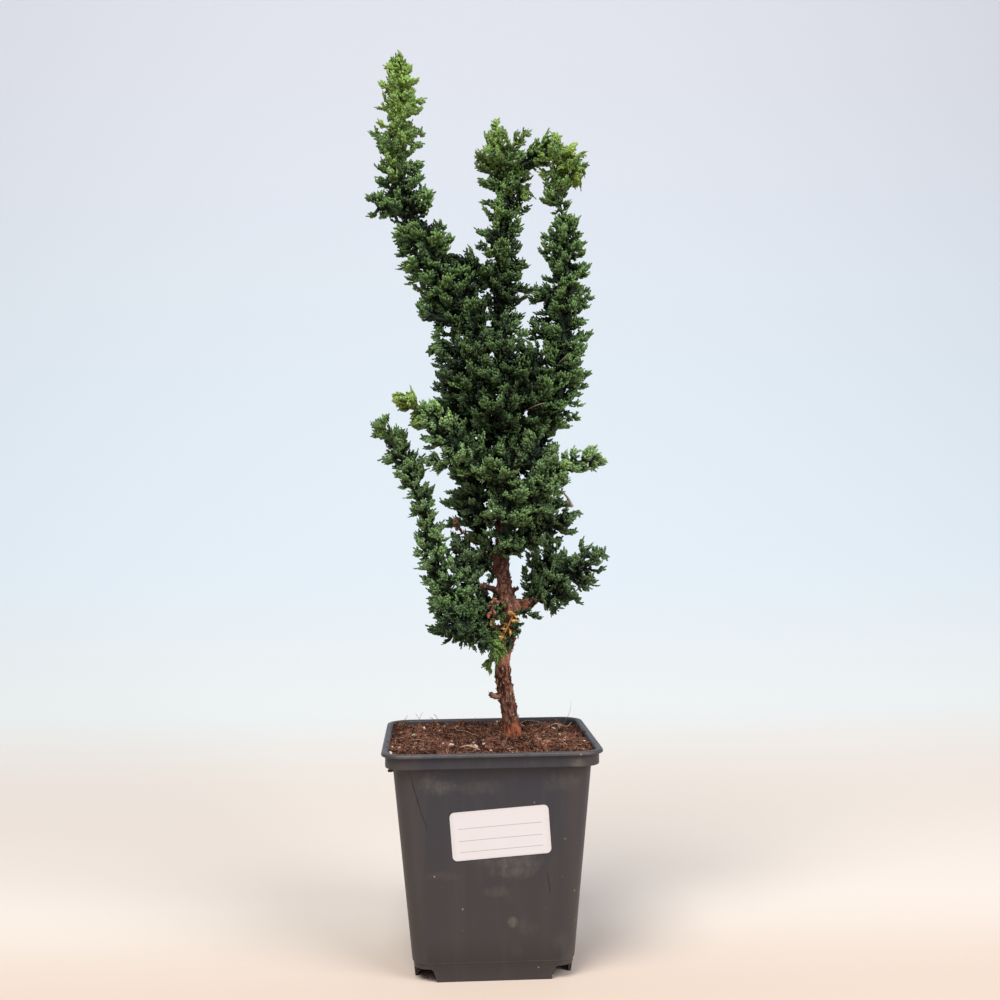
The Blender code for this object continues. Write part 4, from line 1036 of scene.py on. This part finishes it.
def fan_recipe():
    """Parts in two rows along a rope, shorter towards its end and one at its tip, on a cupped surface."""
    recipe = Recipe("leaf_fan", {
        "Rope": "Object", "Parts": "Collection", "Part length": "Float", "Length": "Float",
        "Side parts": "Int", "Tip parts": "Int", "Spread": "Float", "Lift": "Float", "Twist": "Float",
        "Cup": "Float", "Largest part": "Float", "Taper": "Float", "Seed": "Int", "Finish": "Material"})
    index = recipe.node("GeometryNodeInputIndex")
    count = recipe.given("Side parts")
    length = recipe.given("Length")
    share = (index + 0.5) / count
    side = recipe.maths("MODULO", index, 2.0) * 2 - 1
    parts = recipe.shapes("Parts")
    stations = recipe.node("GeometryNodeMeshLine", {"Count": count})
    stations = recipe.moved(stations, Position=recipe.vector(X=length * (share * PARTS_SPAN + FIRST_PART)))
    yaw = side * (recipe.given("Spread") * (1.15 - share * 0.4) + recipe.random(-0.35, 0.35, 1))
    twist = recipe.given("Twist")
    pitch = recipe.random(-0.50, 0.40, 3) - recipe.given("Lift")
    turn = recipe.vector(X=recipe.random(twist * -1, twist, 2), Y=pitch, Z=yaw)
    turn = recipe.node("FunctionNodeEulerToRotation", {0: turn})
    size = recipe.random(0.85, 1.12, 4) * (recipe.given("Largest part") - share * recipe.given("Taper"))
    pick = recipe.random(0, HANDS - 1, 5, "INT")
    side_parts = recipe.placed(stations, parts, Instance_Index=pick, Rotation=turn, Scale=size)
    tip = recipe.node("GeometryNodeMeshLine", {"Count": recipe.given("Tip parts")})
    tip = recipe.moved(tip, Position=recipe.vector(X=length - recipe.given("Part length") * TIP_OVERLAP))
    rope = recipe.node("GeometryNodeObjectInfo", {"Object": recipe.given("Rope")}, "Geometry")
    size = recipe.vector(X=length * MIDDLE_SPAN / ROPE_LENGTH, Y=1.0, Z=1.0)
    middle = recipe.node("GeometryNodeTransform", {"Geometry": rope, "Scale": size})
    real = recipe.real(recipe.joined(side_parts, recipe.placed(tip, parts), middle))
    x, y, _ = recipe.axes(recipe.node("GeometryNodeInputPosition"))
    up = recipe.vector(Z=recipe.given("Cup") * (x * x * 0.5 + y * y) / length)
    recipe.end(recipe.coated(recipe.moved(real, Offset=up)))
    return recipe


# Middle of the crown's painted shade, in metres, measured with heights halved
CROWN_SHADE_MIDDLE = (0.006, 0.003, 0.122)
# Colours of the leaves: inside the foliage (painted shade), outside, at their tips (painted highlight), and
# where growth is young
LEAF_TONES = {
    "dark": ((0.002, 0.008, 0.0015), (0.022, 0.053, 0.014), (0.105, 0.190, 0.062), (0.160, 0.260, 0.060)),
    "mid": ((0.003, 0.012, 0.002), (0.033, 0.082, 0.018), (0.178, 0.320, 0.090), (0.265, 0.415, 0.075)),
    "young": ((0.005, 0.015, 0.003), (0.050, 0.112, 0.021), (0.190, 0.325, 0.060), (0.290, 0.415, 0.058)),
    "lit": ((0.004, 0.016, 0.003), (0.066, 0.150, 0.036), (0.310, 0.490, 0.180), (0.420, 0.580, 0.095)),
}


def leaf_finish(name, inner, outer, tip, young, bloom_and_sheen=0.5):
    """Scale leaves, yellow-green where growth is young, with thin dark seams between the scales. Painted
    shade darkens them inside the foliage, at the base of each rope and in the heart of the crown. Their
    lighter tips are a painted highlight, and a painted grey-green sheen lies on the lower sprays."""
    paint = Finish(name)
    depth, grown, tint, youth = [paint.attribute(label) for label in ("depth", "tip", "tint", "youth")]
    z = paint.height()
    outside = paint.rise(depth, 0.25, 0.90)
    fresh = youth * (0.35 + grown * 0.65) + (tint - 0.72) * outside * grown * 1.2
    fresh = paint.maths("MINIMUM", paint.maths("MAXIMUM", fresh, 0.0), 1.0)
    seams = paint.rise(paint.cells(0.0011, feature="DISTANCE_TO_EDGE"), 0.10, 0.02)
    frost = paint.blots(0.60, 0.72, 0.0007, 2) * outside
    squat = paint.vectors("MULTIPLY", paint.place, (1, 1, 0.5))
    away = paint.node("ShaderNodeVectorMath", {0: squat, 1: CROWN_SHADE_MIDDLE}, "Value", operation="DISTANCE")
    # Painted sheen: a grey-green reflection on the outer tips of the lower sprays, outside the crown's
    # middle.
    lower_spray_sheen = paint.rise(z, 0.236, 0.214) * paint.rise(z, 0.148, 0.166) * outside * grown * bloom_and_sheen
    # Painted shade: the inner colour inside the foliage, at each rope's base and round the crown's middle.
    colour = paint.layers(
        inner,
        (outside * (0.25 + 0.75 * paint.rise(grown, 0.0, 0.55)), outer),
        # Painted highlight: the tip colour towards the ends of the ropes.
        (paint.rise(grown, 0.40, 1.0) * (outside * 0.85), tip),
        (fresh, young),
        ((1 - paint.blots(0.35, 0.7, 0.011, 2)) * 0.35, inner),
        (seams * 0.30, inner),
        (frost * bloom_and_sheen * 0.4, (0.26, 0.32, 0.20)),
        (paint.rise(away, 0.038, 0.016) * 0.58, inner),
        (lower_spray_sheen * paint.rise(away, 0.016, 0.034) * 0.5, (0.215, 0.315, 0.150)))
    relief = paint.cells(0.0011) * 1.0 + paint.cloud(0.0006)
    roughness = 0.46 + paint.cloud(0.003) * 0.2
    return paint.wear(colour, roughness, relief, 0.00025, Specular_IOR_Level=0.3)


rope = bpy.data.objects.new("rope", leaf_rope())
LEAVES = {tone: leaf_finish("foliage_" + tone, *colours) for tone, colours in LEAF_TONES.items()}
fan_shaper = fan_recipe()
bare = bpy.data.meshes.new("bare")
hands = shape_set("hand", [fan_shaper.mesh(bare, "hand", {
    "Rope": rope, "Parts": shape_set("rope", [rope.data]), "Part length": ROPE_LENGTH,
    "Length": HAND_LENGTH, "Side parts": 6, "Tip parts": 0, "Spread": 1.08, "Lift": 0.05, "Twist": 0.8,
    "Cup": 0.5, "Largest part": 0.90, "Taper": 0.30, "Seed": seed, "Finish": LEAVES["mid"]})
    for seed in range(HANDS)])
fans = shape_set("fan", [fan_shaper.mesh(bare, "fan", {
    "Rope": rope, "Parts": hands, "Part length": HAND_LENGTH, "Length": length,
    "Side parts": 2 + step + shape % 2, "Tip parts": 1, "Spread": 0.95, "Lift": 0.2, "Twist": 0.9,
    "Cup": 0.7, "Largest part": 1.22, "Taper": 0.22, "Seed": 10 * step + shape + 30, "Finish": LEAVES["mid"]})
    for step, length in enumerate(FAN_LENGTHS) for shape in range(FAN_SHAPES)])


# Leafy stems: young wood set all round with leaf fans, the twigs of one season above those of the last.
# Every stem grows out of the trunk, a limb or another stem, and is named for where it stands.
# Each route is (x, y, z, reach) in mm. Youth is the share of the route where this year's growth starts.
GOLDEN_ANGLE = math.radians(137.508)
FANS_PER_MM = 1.35
SPARSE_FANS_PER_MM = 0.9
FAN_LIFTS = (math.radians(-38), math.radians(30))
FAN_ROLL = math.radians(60)
CORE_SHARE = 0.15
WOOD_SHARE = 0.085
WOOD_TAPER = 0.65
STEM_STEP = 2.0 * MM
YOUTH_BLEND = 0.25
FIRST_YOUTH = 0.1
END_FALL = 0.45
CROWN_MIDDLE = (7.5, 2.0)
STEMS = [
    ("leader_left", "mid", 0.62, [[
        (-1.5, 1.2, 258, 3), (-4.5, 1, 264, 10), (-11, 0, 276, 13), (-19, -1, 292, 13.5),
        (-25, -2, 306, 13.5), (-31, -3, 319, 12.5), (-35, -3, 331, 11), (-37, -3, 342, 9.5),
        (-36.5, -2, 357, 11), (-36, -2, 370, 9), (-36, -2, 382, 7)],
        [(-9, 0, 276, 3), (-17, -3, 274, 9), (-23, -4, 276, 7)],
        [(-4, 1, 264, 3), (-11, -3, 260, 9), (-17, -4, 261, 7)]]),
    ("leader_centre", "mid", 0.80, [[
        (7.5, 9.6, 265, 3), (7.5, 9.4, 271, 9), (9, 9, 283, 12), (9, 9, 298, 11), (8, 8, 311, 11),
        (10, 7, 326, 9), (9, 6, 340, 12.5), (7, 5, 351, 12)],
        [(9, 6, 340, 2), (14, 5, 337, 6), (17, 4, 332, 5)],
        [(9, 6, 346, 2), (14, 5, 352, 4.5), (18.5, 4, 357, 3)],
        [(8, 6, 342, 2), (3, 6, 344, 5), (0.5, 6, 346, 4)]]),
    ("leader_right", "mid", 0.80, [[
        (22, -0.4, 223, 3), (26, -1.5, 228, 8), (32, -3, 241, 11.5), (34, -3, 260, 11.5), (34, -3, 283, 11),
        (36, -3, 293, 12), (35.5, -3, 303, 11), (35.5, -3, 310.5, 9.5), (34.8, -3, 318.5, 3.4),
        (32.5, -3, 325.5, 6), (33, -3, 331, 6), (34.5, -3, 338, 10), (33.5, -3, 346, 9.5)],
        [(33, -3, 283, 2), (27, -3, 282, 5.5), (23.5, -3, 285, 4)],
        [(33, -3, 268, 2), (26, -3, 267, 6), (22.5, -3, 271, 4)]]),
    ("side_tuft_spray", "mid", 0.9, [[
        (-37, -3, 322, 2), (-41.5, -4, 322, 4.5), (-45, -5, 323, 5.5), (-47, -5, 326, 4)]]),
    ("arch_spray", "young", 0.85, [[
        (12, 6, 338, 2.5), (17, 5, 343, 5), (23, 3.5, 346, 6), (28.5, 2, 351, 5.5)]]),
    ("right_tip_spray", "young", 0.0, [[
        (34.5, -3.2, 337, 2), (37, -3.8, 345, 6), (39.6, -4.4, 342.5, 6.5), (39.8, -4.6, 336.5, 5.5)]]),
    ("bridge_spray", "dark", 1.0, [[
        (9, 9, 292, 2.5), (1, 6, 296, 5), (-5, 3, 300, 6), (-11, 1, 301, 5)]]),
    ("between_spray", "dark", 1.0, [[
        (0.5, 2, 251, 2), (-1, 7.5, 262, 9), (-4, 9, 274, 11), (-7, 8, 287, 10), (-7, 7, 295, 7)]]),
    ("left_mid_spray", "mid", 0.86, [[
        (8, 2.6, 201, 2.4), (2, -7, 205, 7), (-6, -12, 212, 11.5), (-16, -15, 222, 10.5),
        (-25, -16, 231, 7.5), (-32, -18, 236, 7)],
        [(-10, -12, 214, 2), (-17, -14, 212, 5), (-23, -15, 212, 3.5)]]),
    ("low_left_column", "mid", 0.9, [[
        (-7, -6, 145, 2.4), (-14, -8, 150, 8), (-19, -9, 160, 9), (-23, -9, 173, 7.5), (-25.5, -9, 186, 6),
        (-29, -10, 200, 6), (-35, -11, 213, 6.5), (-43.5, -12, 225.5, 6.5)],
        [(-30, -10, 200, 2), (-34, -9, 213, 4), (-37, -9, 222, 4)]]),
    ("right_upper_spray", "mid", 0.95, [[
        (9, 2.4, 191, 2.2), (20, -3, 197, 7), (28.5, -6, 205, 7.5), (35.5, -7, 210, 6.5), (42, -8, 212, 5.5),
        (47.5, -8, 212, 4.5)]]),
    ("right_twig_spray", "dark", 1.0, [[
        (8, 1.4, 177, 2.2), (17, -4, 179, 8), (26, -6.5, 184, 9), (33, -8, 187, 7)]]),
    ("low_right_spray", "dark", 0.93, [[
        (20, -1.8, 152.6, 4.2), (26, -3, 155.5, 7.5), (33, -4, 160, 11.5), (40, -5, 166, 10),
        (45, -6, 169, 7.5)],
        [(24, -2, 153, 2), (28, -5, 152.5, 7), (33, -6, 155, 6)],
        [(14, -2, 149, 1.5), (16.5, -5.5, 147, 3.5), (19.5, -6, 146, 3.5)],
        [(12, -3, 146, 1.2), (13, -5.5, 142.5, 3), (12.5, -6, 139, 2.5)]]),
    ("low_right_back_spray", "mid", 1.0, [[
        (16, -1, 150.6, 2.2), (21, 5, 156, 5), (25, 10, 164, 9), (28, 13, 172, 9)]]),
    ("low_left_spray_1", "mid", 0.95, [[
        (-2, -4.6, 142.8, 2), (-5, -10, 142, 6), (-12, -14, 144, 7), (-19, -16, 149, 6)],
        [(2, -3, 142, 1.5), (0, -7, 146, 5), (-3, -9, 149, 6)],
        [(-7, -11, 142, 2), (-7, -14, 139, 4.5), (-2, -15, 134.5, 4)],
        [(-14, -15, 145, 2), (-16, -18, 143, 4), (-13, -19, 141, 3.5)]]),
    ("low_left_spray_2", "dark", 1.0, [[
        (-7, -5.8, 145, 2), (-9, -3, 140, 6), (-14, -2, 138, 6.5), (-18, -1, 139, 6)]]),
    ("low_left_spray_3", "dark", 1.0, [[
        (-3, -4.8, 143.2, 2), (-6, 3, 145, 8), (-12, 8, 149, 10), (-18, 11, 154, 8)],
        [(-1, -4.5, 142, 1.5), (0, 2, 147, 6), (-1, 5, 152, 7)]]),
    ("left_inner_spray", "dark", 1.0, [[
        (-2.5, -1.8, 157.8, 1.6), (-6, -2.4, 159, 7), (-10, -1, 165, 10), (-11, 1, 173, 9)],
        [(5, 1, 163, 1.5), (1, 4, 166, 6), (-2, 5, 172, 7)]]),
    ("front_droop_spray", "mid", 0.72, [[
        (7.4, -0.4, 138.5, 1.6), (1, -7, 140, 3.5), (0.5, -9.5, 136.5, 5), (2.6, -10.5, 132.5, 4.8)],
        [(7, -2, 150, 1), (5.5, -6, 149.5, 3.5), (6, -7.5, 147, 3)],
        [(8, -2.5, 139, 1), (9.2, -6, 137, 3), (9.2, -6.5, 134, 3)],
        [(5.5, -2, 128, 1), (2, -5, 127, 3), (0.5, -5, 124.5, 3)]]),
]
# The crown's sprays: azimuth in degrees, foot and top heights, distance from its middle and reach in mm
CROWN_SPRAYS = [
    (-88, 170, 214, 14, 12), (-50, 184, 218, 19, 12), (20, 172, 222, 17, 13), (80, 176, 222, 15, 13),
    (140, 171, 216, 16, 12), (200, 184, 209, 12, 10),
    (-90, 214, 268, 13, 13), (-130, 219, 262, 15, 12), (-158, 224, 258, 19, 12), (172, 213, 246, 18, 11),
    (125, 210, 256, 17, 13), (72, 214, 258, 16, 13), (22, 216, 251, 16, 12), (-34, 218, 256, 17, 12),
]
# How such a spray bends: shares of its distance, of its height and of its reach
CROWN_BEND = [(0.62, 0.16, 0.62), (0.95, 0.4, 1), (1.04, 0.7, 1), (1.0, 1, 0.75)]
CROWN_OUTWARD = 0.7
CROWN_FOOT = 0.2
# Sprays whose leaves aren't in the tone that their slot is named for
OWN_TONES = {"left_mid_spray": "lit", "right_upper_spray": "lit", "low_left_spray_1": "dark"}


def carrier_point(z, out):
    """Where a spray at a height leaves the wood: the trunk's centre line, or the limb on that side."""
    routes = [TRUNK_ROUTE] if z < TRUNK_ROUTE[-1][2] else LIMB_ROUTES[:3]
    found = []
    for route in routes:
        for low, high in zip(route, route[1:]):
            if low[2] <= z <= high[2]:
                share = (z - low[2]) / (high[2] - low[2])
                found.append(Vector(low[:3]).lerp(Vector(high[:3]), share))
    return max(found, key=lambda point: point.dot(out))


def crown_route(azimuth, foot_z, top_z, distance, reach):
    """Route of one crown spray: out from the wood, then up beside it."""
    out = Vector((math.cos(math.radians(azimuth)), math.sin(math.radians(azimuth)), 0))
    foot = carrier_point(foot_z, out)
    points = [(*foot, CROWN_FOOT * reach)]
    for away, up, size in CROWN_BEND:
        point = Vector((*CROWN_MIDDLE, 0)) + out * distance * away
        points.append((point.x, point.y, foot.z + (top_z - foot_z) * up, reach * size))
    return points


def route_mesh(routes, youth_start):
    """A stem and its side shoots as chains of edges that carry reach, youth, wood radius and nearness
    of their ends."""
    places = []
    edges = []
    main_length = 0
    values = {"reach": [], "youth": [], "wood": [], "end": []}
    for number, route in enumerate(routes):
        samples = smooth_route(route, STEM_STEP)
        last = len(samples) - 1
        if number:
            nearest = min(range(main_length), key=lambda i: (places[i] - samples[0].xyz).length)
            young = values["youth"][nearest]
        else:
            main_length = len(samples)
        edges += [(len(places) + i, len(places) + i + 1) for i in range(last)]
        places += [sample.xyz for sample in samples]
        thickness = WOOD_SHARE * max(point[3] for point in route) * MM
        for step, sample in enumerate(samples):
            share = step / last
            if number == 0:
                young = (share - youth_start) / YOUTH_BLEND + FIRST_YOUTH if youth_start < 1 else 0
                young = min(max(young, 0), 1)
            values["reach"].append(sample.w)
            values["youth"].append(young)
            values["wood"].append(thickness * (1 - WOOD_TAPER * share))
            values["end"].append(max(0, 1 - (last - step) * END_FALL))
    mesh = bpy.data.meshes.new("route")
    mesh.from_pydata(places, edges, [])
    for name, numbers in values.items():
        layer = mesh.attributes.new(name, "FLOAT", "POINT")
        layer.data.foreach_set("value", numbers)
    return mesh


def stem_recipe():
    """A leafy stem on a chain of edges: fans by the golden angle, a knobby core of old twigs, and wood."""
    recipe = Recipe("leafy_stem", {
        "Fans": "Collection", "Fan spacing": "Float", "Lowest lift": "Float", "Highest lift": "Float",
        "Roll": "Float", "Outward": "Float", "Middle": "Vector", "Core share": "Float", "Seed": "Int",
        "Leaf": "Material", "Wood": "Material"})
    route = recipe.given("Geometry")
    line = recipe.node("GeometryNodeMeshToCurve", {"Mesh": route})
    points = recipe.node(
        "GeometryNodeCurveToPoints", {"Curve": line, "Length": recipe.given("Fan spacing")}, mode="LENGTH")
    along = points.out("Tangent")
    across = points.out("Normal")
    aside = recipe.vectors("CROSS_PRODUCT", along, across)
    index = recipe.node("GeometryNodeInputIndex")
    azimuth = index * GOLDEN_ANGLE + recipe.random(-0.5, 0.5, 1)
    place = recipe.node("GeometryNodeInputPosition")
    flat = recipe.vectors("MULTIPLY", recipe.vectors("SUBTRACT", place, recipe.given("Middle")), (1, 1, 0))
    outward = recipe.scaled(recipe.vectors("NORMALIZE", flat), recipe.given("Outward"))

    def between(first, second, angle):
        """A direction turned by the angle from the first towards the second."""
        return recipe.vectors(
            "ADD", recipe.scaled(first, recipe.maths("COSINE", angle)),
            recipe.scaled(second, recipe.maths("SINE", angle)))

    out = between(across, aside, azimuth)
    out = recipe.vectors("NORMALIZE", recipe.vectors("ADD", out, outward))
    lift = recipe.random(recipe.given("Lowest lift"), recipe.given("Highest lift"), 2)
    lift = lift + recipe.stored("end") * 0.9
    ahead = recipe.vectors("ADD", between(out, along, lift), (0, 0, 0.12))
    turn = recipe.node(
        "FunctionNodeAxesToRotation", {0: ahead, 1: along}, primary_axis="X", secondary_axis="Z")
    roll = recipe.given("Roll")
    rolled = recipe.node(
        "FunctionNodeAxisAngleToRotation", {0: (1, 0, 0), 1: recipe.random(roll * -1, roll, 3)})
    turn = recipe.node("FunctionNodeRotateRotation", {0: turn, 1: rolled}, rotation_space="LOCAL")
    reach = recipe.stored("reach")
    wanted = recipe.maths("MINIMUM", reach * recipe.random(0.80, 1.16, 4), FAN_LENGTHS[-1] * 1.2)
    gap = FAN_LENGTHS[1] - FAN_LENGTHS[0]
    step = recipe.maths("FLOOR", (wanted - FAN_LENGTHS[0] + gap / 2) / gap)
    step = recipe.maths("MAXIMUM", recipe.maths("MINIMUM", step, len(FAN_LENGTHS) - 1.0), 0.0)
    size = wanted / (step * gap + FAN_LENGTHS[0])
    tinted = recipe.store(points, "tint", recipe.random(0.0, 1.0, 5))
    pick = step * FAN_SHAPES + recipe.random(0, FAN_SHAPES - 1, 6, "INT")
    placed = recipe.placed(tinted, recipe.shapes("Fans"), Instance_Index=pick, Rotation=turn, Scale=size)
    away = recipe.node("GeometryNodeProximity", {0: route}, "Distance", target_element="EDGES")
    leafy = recipe.store(recipe.real(placed), "depth", away / recipe.stored("reach"))

    def sleeve(radius, sides):
        ring = recipe.node("GeometryNodeCurvePrimitiveCircle", {"Resolution": sides, "Radius": 1.0})
        return recipe.node("GeometryNodeCurveToMesh", {
            "Curve": line, "Profile Curve": ring, "Scale": radius, "Fill Caps": True})

    core = sleeve(recipe.stored("reach") * recipe.given("Core share"), 8)
    bumps = recipe.node("ShaderNodeTexNoise", {"Vector": place, "Scale": 260.0, "Detail": 1.0})
    push = (bumps - 0.5) * recipe.stored("reach") * 0.5
    knobs = recipe.scaled(recipe.node("GeometryNodeInputNormal"), push)
    green = recipe.coated(recipe.joined(leafy, recipe.moved(core, Offset=knobs)), "Leaf")
    recipe.end(recipe.joined(green, recipe.coated(sleeve(recipe.stored("wood"), 6), "Wood")))
    return recipe


def add_stem(name, tone, youth_start, routes, outward=0.0, rate=FANS_PER_MM):
    mesh = stem_shaper.mesh(route_mesh(routes, youth_start), name + "_foliage", {
        "Fans": fans, "Fan spacing": MM / rate, "Lowest lift": FAN_LIFTS[0], "Highest lift": FAN_LIFTS[1],
        "Roll": FAN_ROLL, "Outward": outward, "Core share": CORE_SHARE,
        "Middle": (*[value * MM for value in CROWN_MIDDLE], 0),
        "Seed": sum(map(ord, name)), "Leaf": LEAVES[OWN_TONES.get(name, tone)], "Wood": bark})
    add_piece(name + "_foliage", mesh, None, [name], "foliage_" + tone)


stem_shaper = stem_recipe()
for name, tone, youth_start, routes in STEMS:
    add_stem(name, tone, youth_start, routes)
for number, spray in enumerate(CROWN_SPRAYS, 1):
    tone = "mid" if number % 3 else "dark"
    add_stem(
        f"crown_spray_{number:02d}", tone, 1.0, [crown_route(*spray)], CROWN_OUTWARD, SPARSE_FANS_PER_MM)


# Dead sprays: small twigs inside the foliage that dried out and kept their leaves, straw yellow, rusty
# or brown, each on its own short shoot of the trunk.
# Name, colours as in LEAF_TONES with one for the tips and the young growth, and routes
DEAD_SPRAYS = [
    ("dead_spray_yellow", (0.22, 0.10, 0.025), (0.62, 0.36, 0.085), (0.86, 0.60, 0.23), [
        [(10.5, -1, 147.5, 1.0), (10.6, -6, 146, 2.4), (8.6, -7.5, 142, 3.2), (6.6, -8.2, 138.5, 2.6)],
        [(7, -3, 144, 0.6), (4, -7, 145, 1.6), (2.2, -8, 144, 2.0)]]),
    ("dead_spray_red", (0.12, 0.035, 0.022), (0.40, 0.125, 0.078), (0.62, 0.260, 0.170), [
        [(7.6, -1, 152.5, 1.4), (4.5, -6, 152, 2.4), (2.5, -8, 150.5, 3), (1, -9.5, 148.5, 2.4)]]),
    ("dead_spray_brown", (0.06, 0.025, 0.015), (0.20, 0.080, 0.048), (0.38, 0.185, 0.120), [
        [(7.2, 1.2, 169, 0.4), (-1, 2, 173, 0.6), (-7, 1, 179, 1.4), (-13, -2, 184.5, 3.2)]]),
]
for name, inner, outer, tip, routes in DEAD_SPRAYS:
    colour = name.removeprefix("dead_spray_")
    LEAVES["dead_" + colour] = leaf_finish("foliage_dead_" + colour, inner, outer, tip, tip, 0.1)
    add_stem(name, "dead_" + colour, 1.0, routes, rate=SPARSE_FANS_PER_MM)


# Dry twigs: a few bare ends of dead wood that have lost their leaves, grey-brown and smooth. They grow
# out of the limbs and stick out of the crown.
DRY_TWIGS = [
    [(18, -3, 201, 0.30), (31, -5, 199.5, 0.35), (34.5, -7, 197, 0.45), (36.8, -7.5, 192.5, 0.75)],
    [(30, -5, 253, 0.10), (33.4, -10.5, 256.2, 0.22), (35.2, -12.3, 258.0, 0.22)],
    [(16, -6, 234, 0.08), (21.4, -15.5, 235.8, 0.22), (24.0, -18.6, 236.3, 0.24)],
]
twig_wood = peat_finish("dry_twigs", (0.180, 0.125, 0.085), (0.520, 0.410, 0.300), 0.0020)
add_strands("dry_twigs", DRY_TWIGS, twig_wood, "bark")


# Studio: a pale floor that rises into a plain backdrop, soft light from the upper left, a weaker fill
# from the right, and the camera, level with the middle of the plant.
SWEEP_HALF = 2.6
SWEEP_FRONT = -2.2
SWEEP_BACK = 1.15
SWEEP_RADIUS = 0.9
SWEEP_TOP = 3.2
SWEEP_STEPS = 24
LIGHT_AIM = (0, 0, 0.2)
AIR_COLOUR = (0.90, 0.94, 1.0, 1)
AIR_STRENGTH = 0.42


def sweep_mesh():
    profile = [(SWEEP_FRONT, 0)]
    for step in range(SWEEP_STEPS + 1):
        angle = step / SWEEP_STEPS * math.pi / 2
        y = SWEEP_BACK - SWEEP_RADIUS + SWEEP_RADIUS * math.sin(angle)
        profile.append((y, SWEEP_RADIUS - SWEEP_RADIUS * math.cos(angle)))
    profile.append((SWEEP_BACK, SWEEP_TOP))
    bm = bmesh.new()
    rows = [[bm.verts.new((x, y, z)) for x in (-SWEEP_HALF, SWEEP_HALF)] for y, z in profile]
    for low, high in zip(rows, rows[1:]):
        bm.faces.new((low[0], low[1], high[1], high[0]))
    return mesh_from(bm, "studio_sweep")


def sweep_finish():
    """Warm on the floor, more so in front, and a cool pale grey that changes with height behind."""
    paint = Finish("studio_sweep")
    _, y, z = paint.axes(paint.place)
    tone = paint.layers(
        (0.64, 0.57, 0.51),
        (paint.rise(y, 0.08, -0.06), (0.555, 0.445, 0.365)),
        (paint.rise(z, -0.004, 0.035), (0.620, 0.642, 0.635)),
        (paint.rise(z, 0.02, 0.16), (0.570, 0.635, 0.685)),
        (paint.rise(z, 0.25, 0.95), (0.600, 0.617, 0.680)))
    return paint.wear(tone, 0.9)


sweep = new_object("studio_sweep", sweep_mesh())
sweep.data.materials.append(sweep_finish())
sweep.data.shade_smooth()


def add_light(name, place, size, power, colour):
    light = bpy.data.lights.new(name, "AREA")
    light.shape = "DISK"
    light.size = size
    light.energy = power
    light.color = colour
    lamp = new_object(name, light)
    lamp.location = place
    lamp.rotation_euler = (Vector(LIGHT_AIM) - Vector(place)).to_track_quat("-Z", "Y").to_euler()


add_light("key_light", (-0.42, -0.80, 1.52), size=0.9, power=31.0, colour=(1.0, 0.98, 0.95))
add_light("fill_light", (0.90, -0.90, 0.95), size=1.0, power=18.5, colour=(0.96, 0.97, 1.0))
world = bpy.data.worlds.new("studio_air")
world.use_nodes = True
world.node_tree.nodes["Background"].inputs["Color"].default_value = AIR_COLOUR
world.node_tree.nodes["Background"].inputs["Strength"].default_value = AIR_STRENGTH
bpy.context.scene.world = world
bpy.context.scene.view_settings.view_transform = "Standard"

LENS_MM = 44.776
SENSOR_MM = 36
CAMERA_PLACE = (-0.02364, -0.54028, 0.18731)
CAMERA_RIGHT = Vector((0.99844296, -0.05475163, -0.01067332))
CAMERA_UP = Vector((0.00977974, -0.01656273, 0.999815))
CAMERA_AHEAD = Vector((0.05491828, 0.99836263, 0.01600148))
lens = bpy.data.cameras.new("camera")
lens.lens = LENS_MM
lens.sensor_width = SENSOR_MM
camera = new_object("camera", lens)
turn = Matrix((CAMERA_RIGHT, CAMERA_UP, -CAMERA_AHEAD)).transposed().to_4x4()
camera.matrix_world = Matrix.Translation(CAMERA_PLACE) @ turn
bpy.context.scene.camera = camera
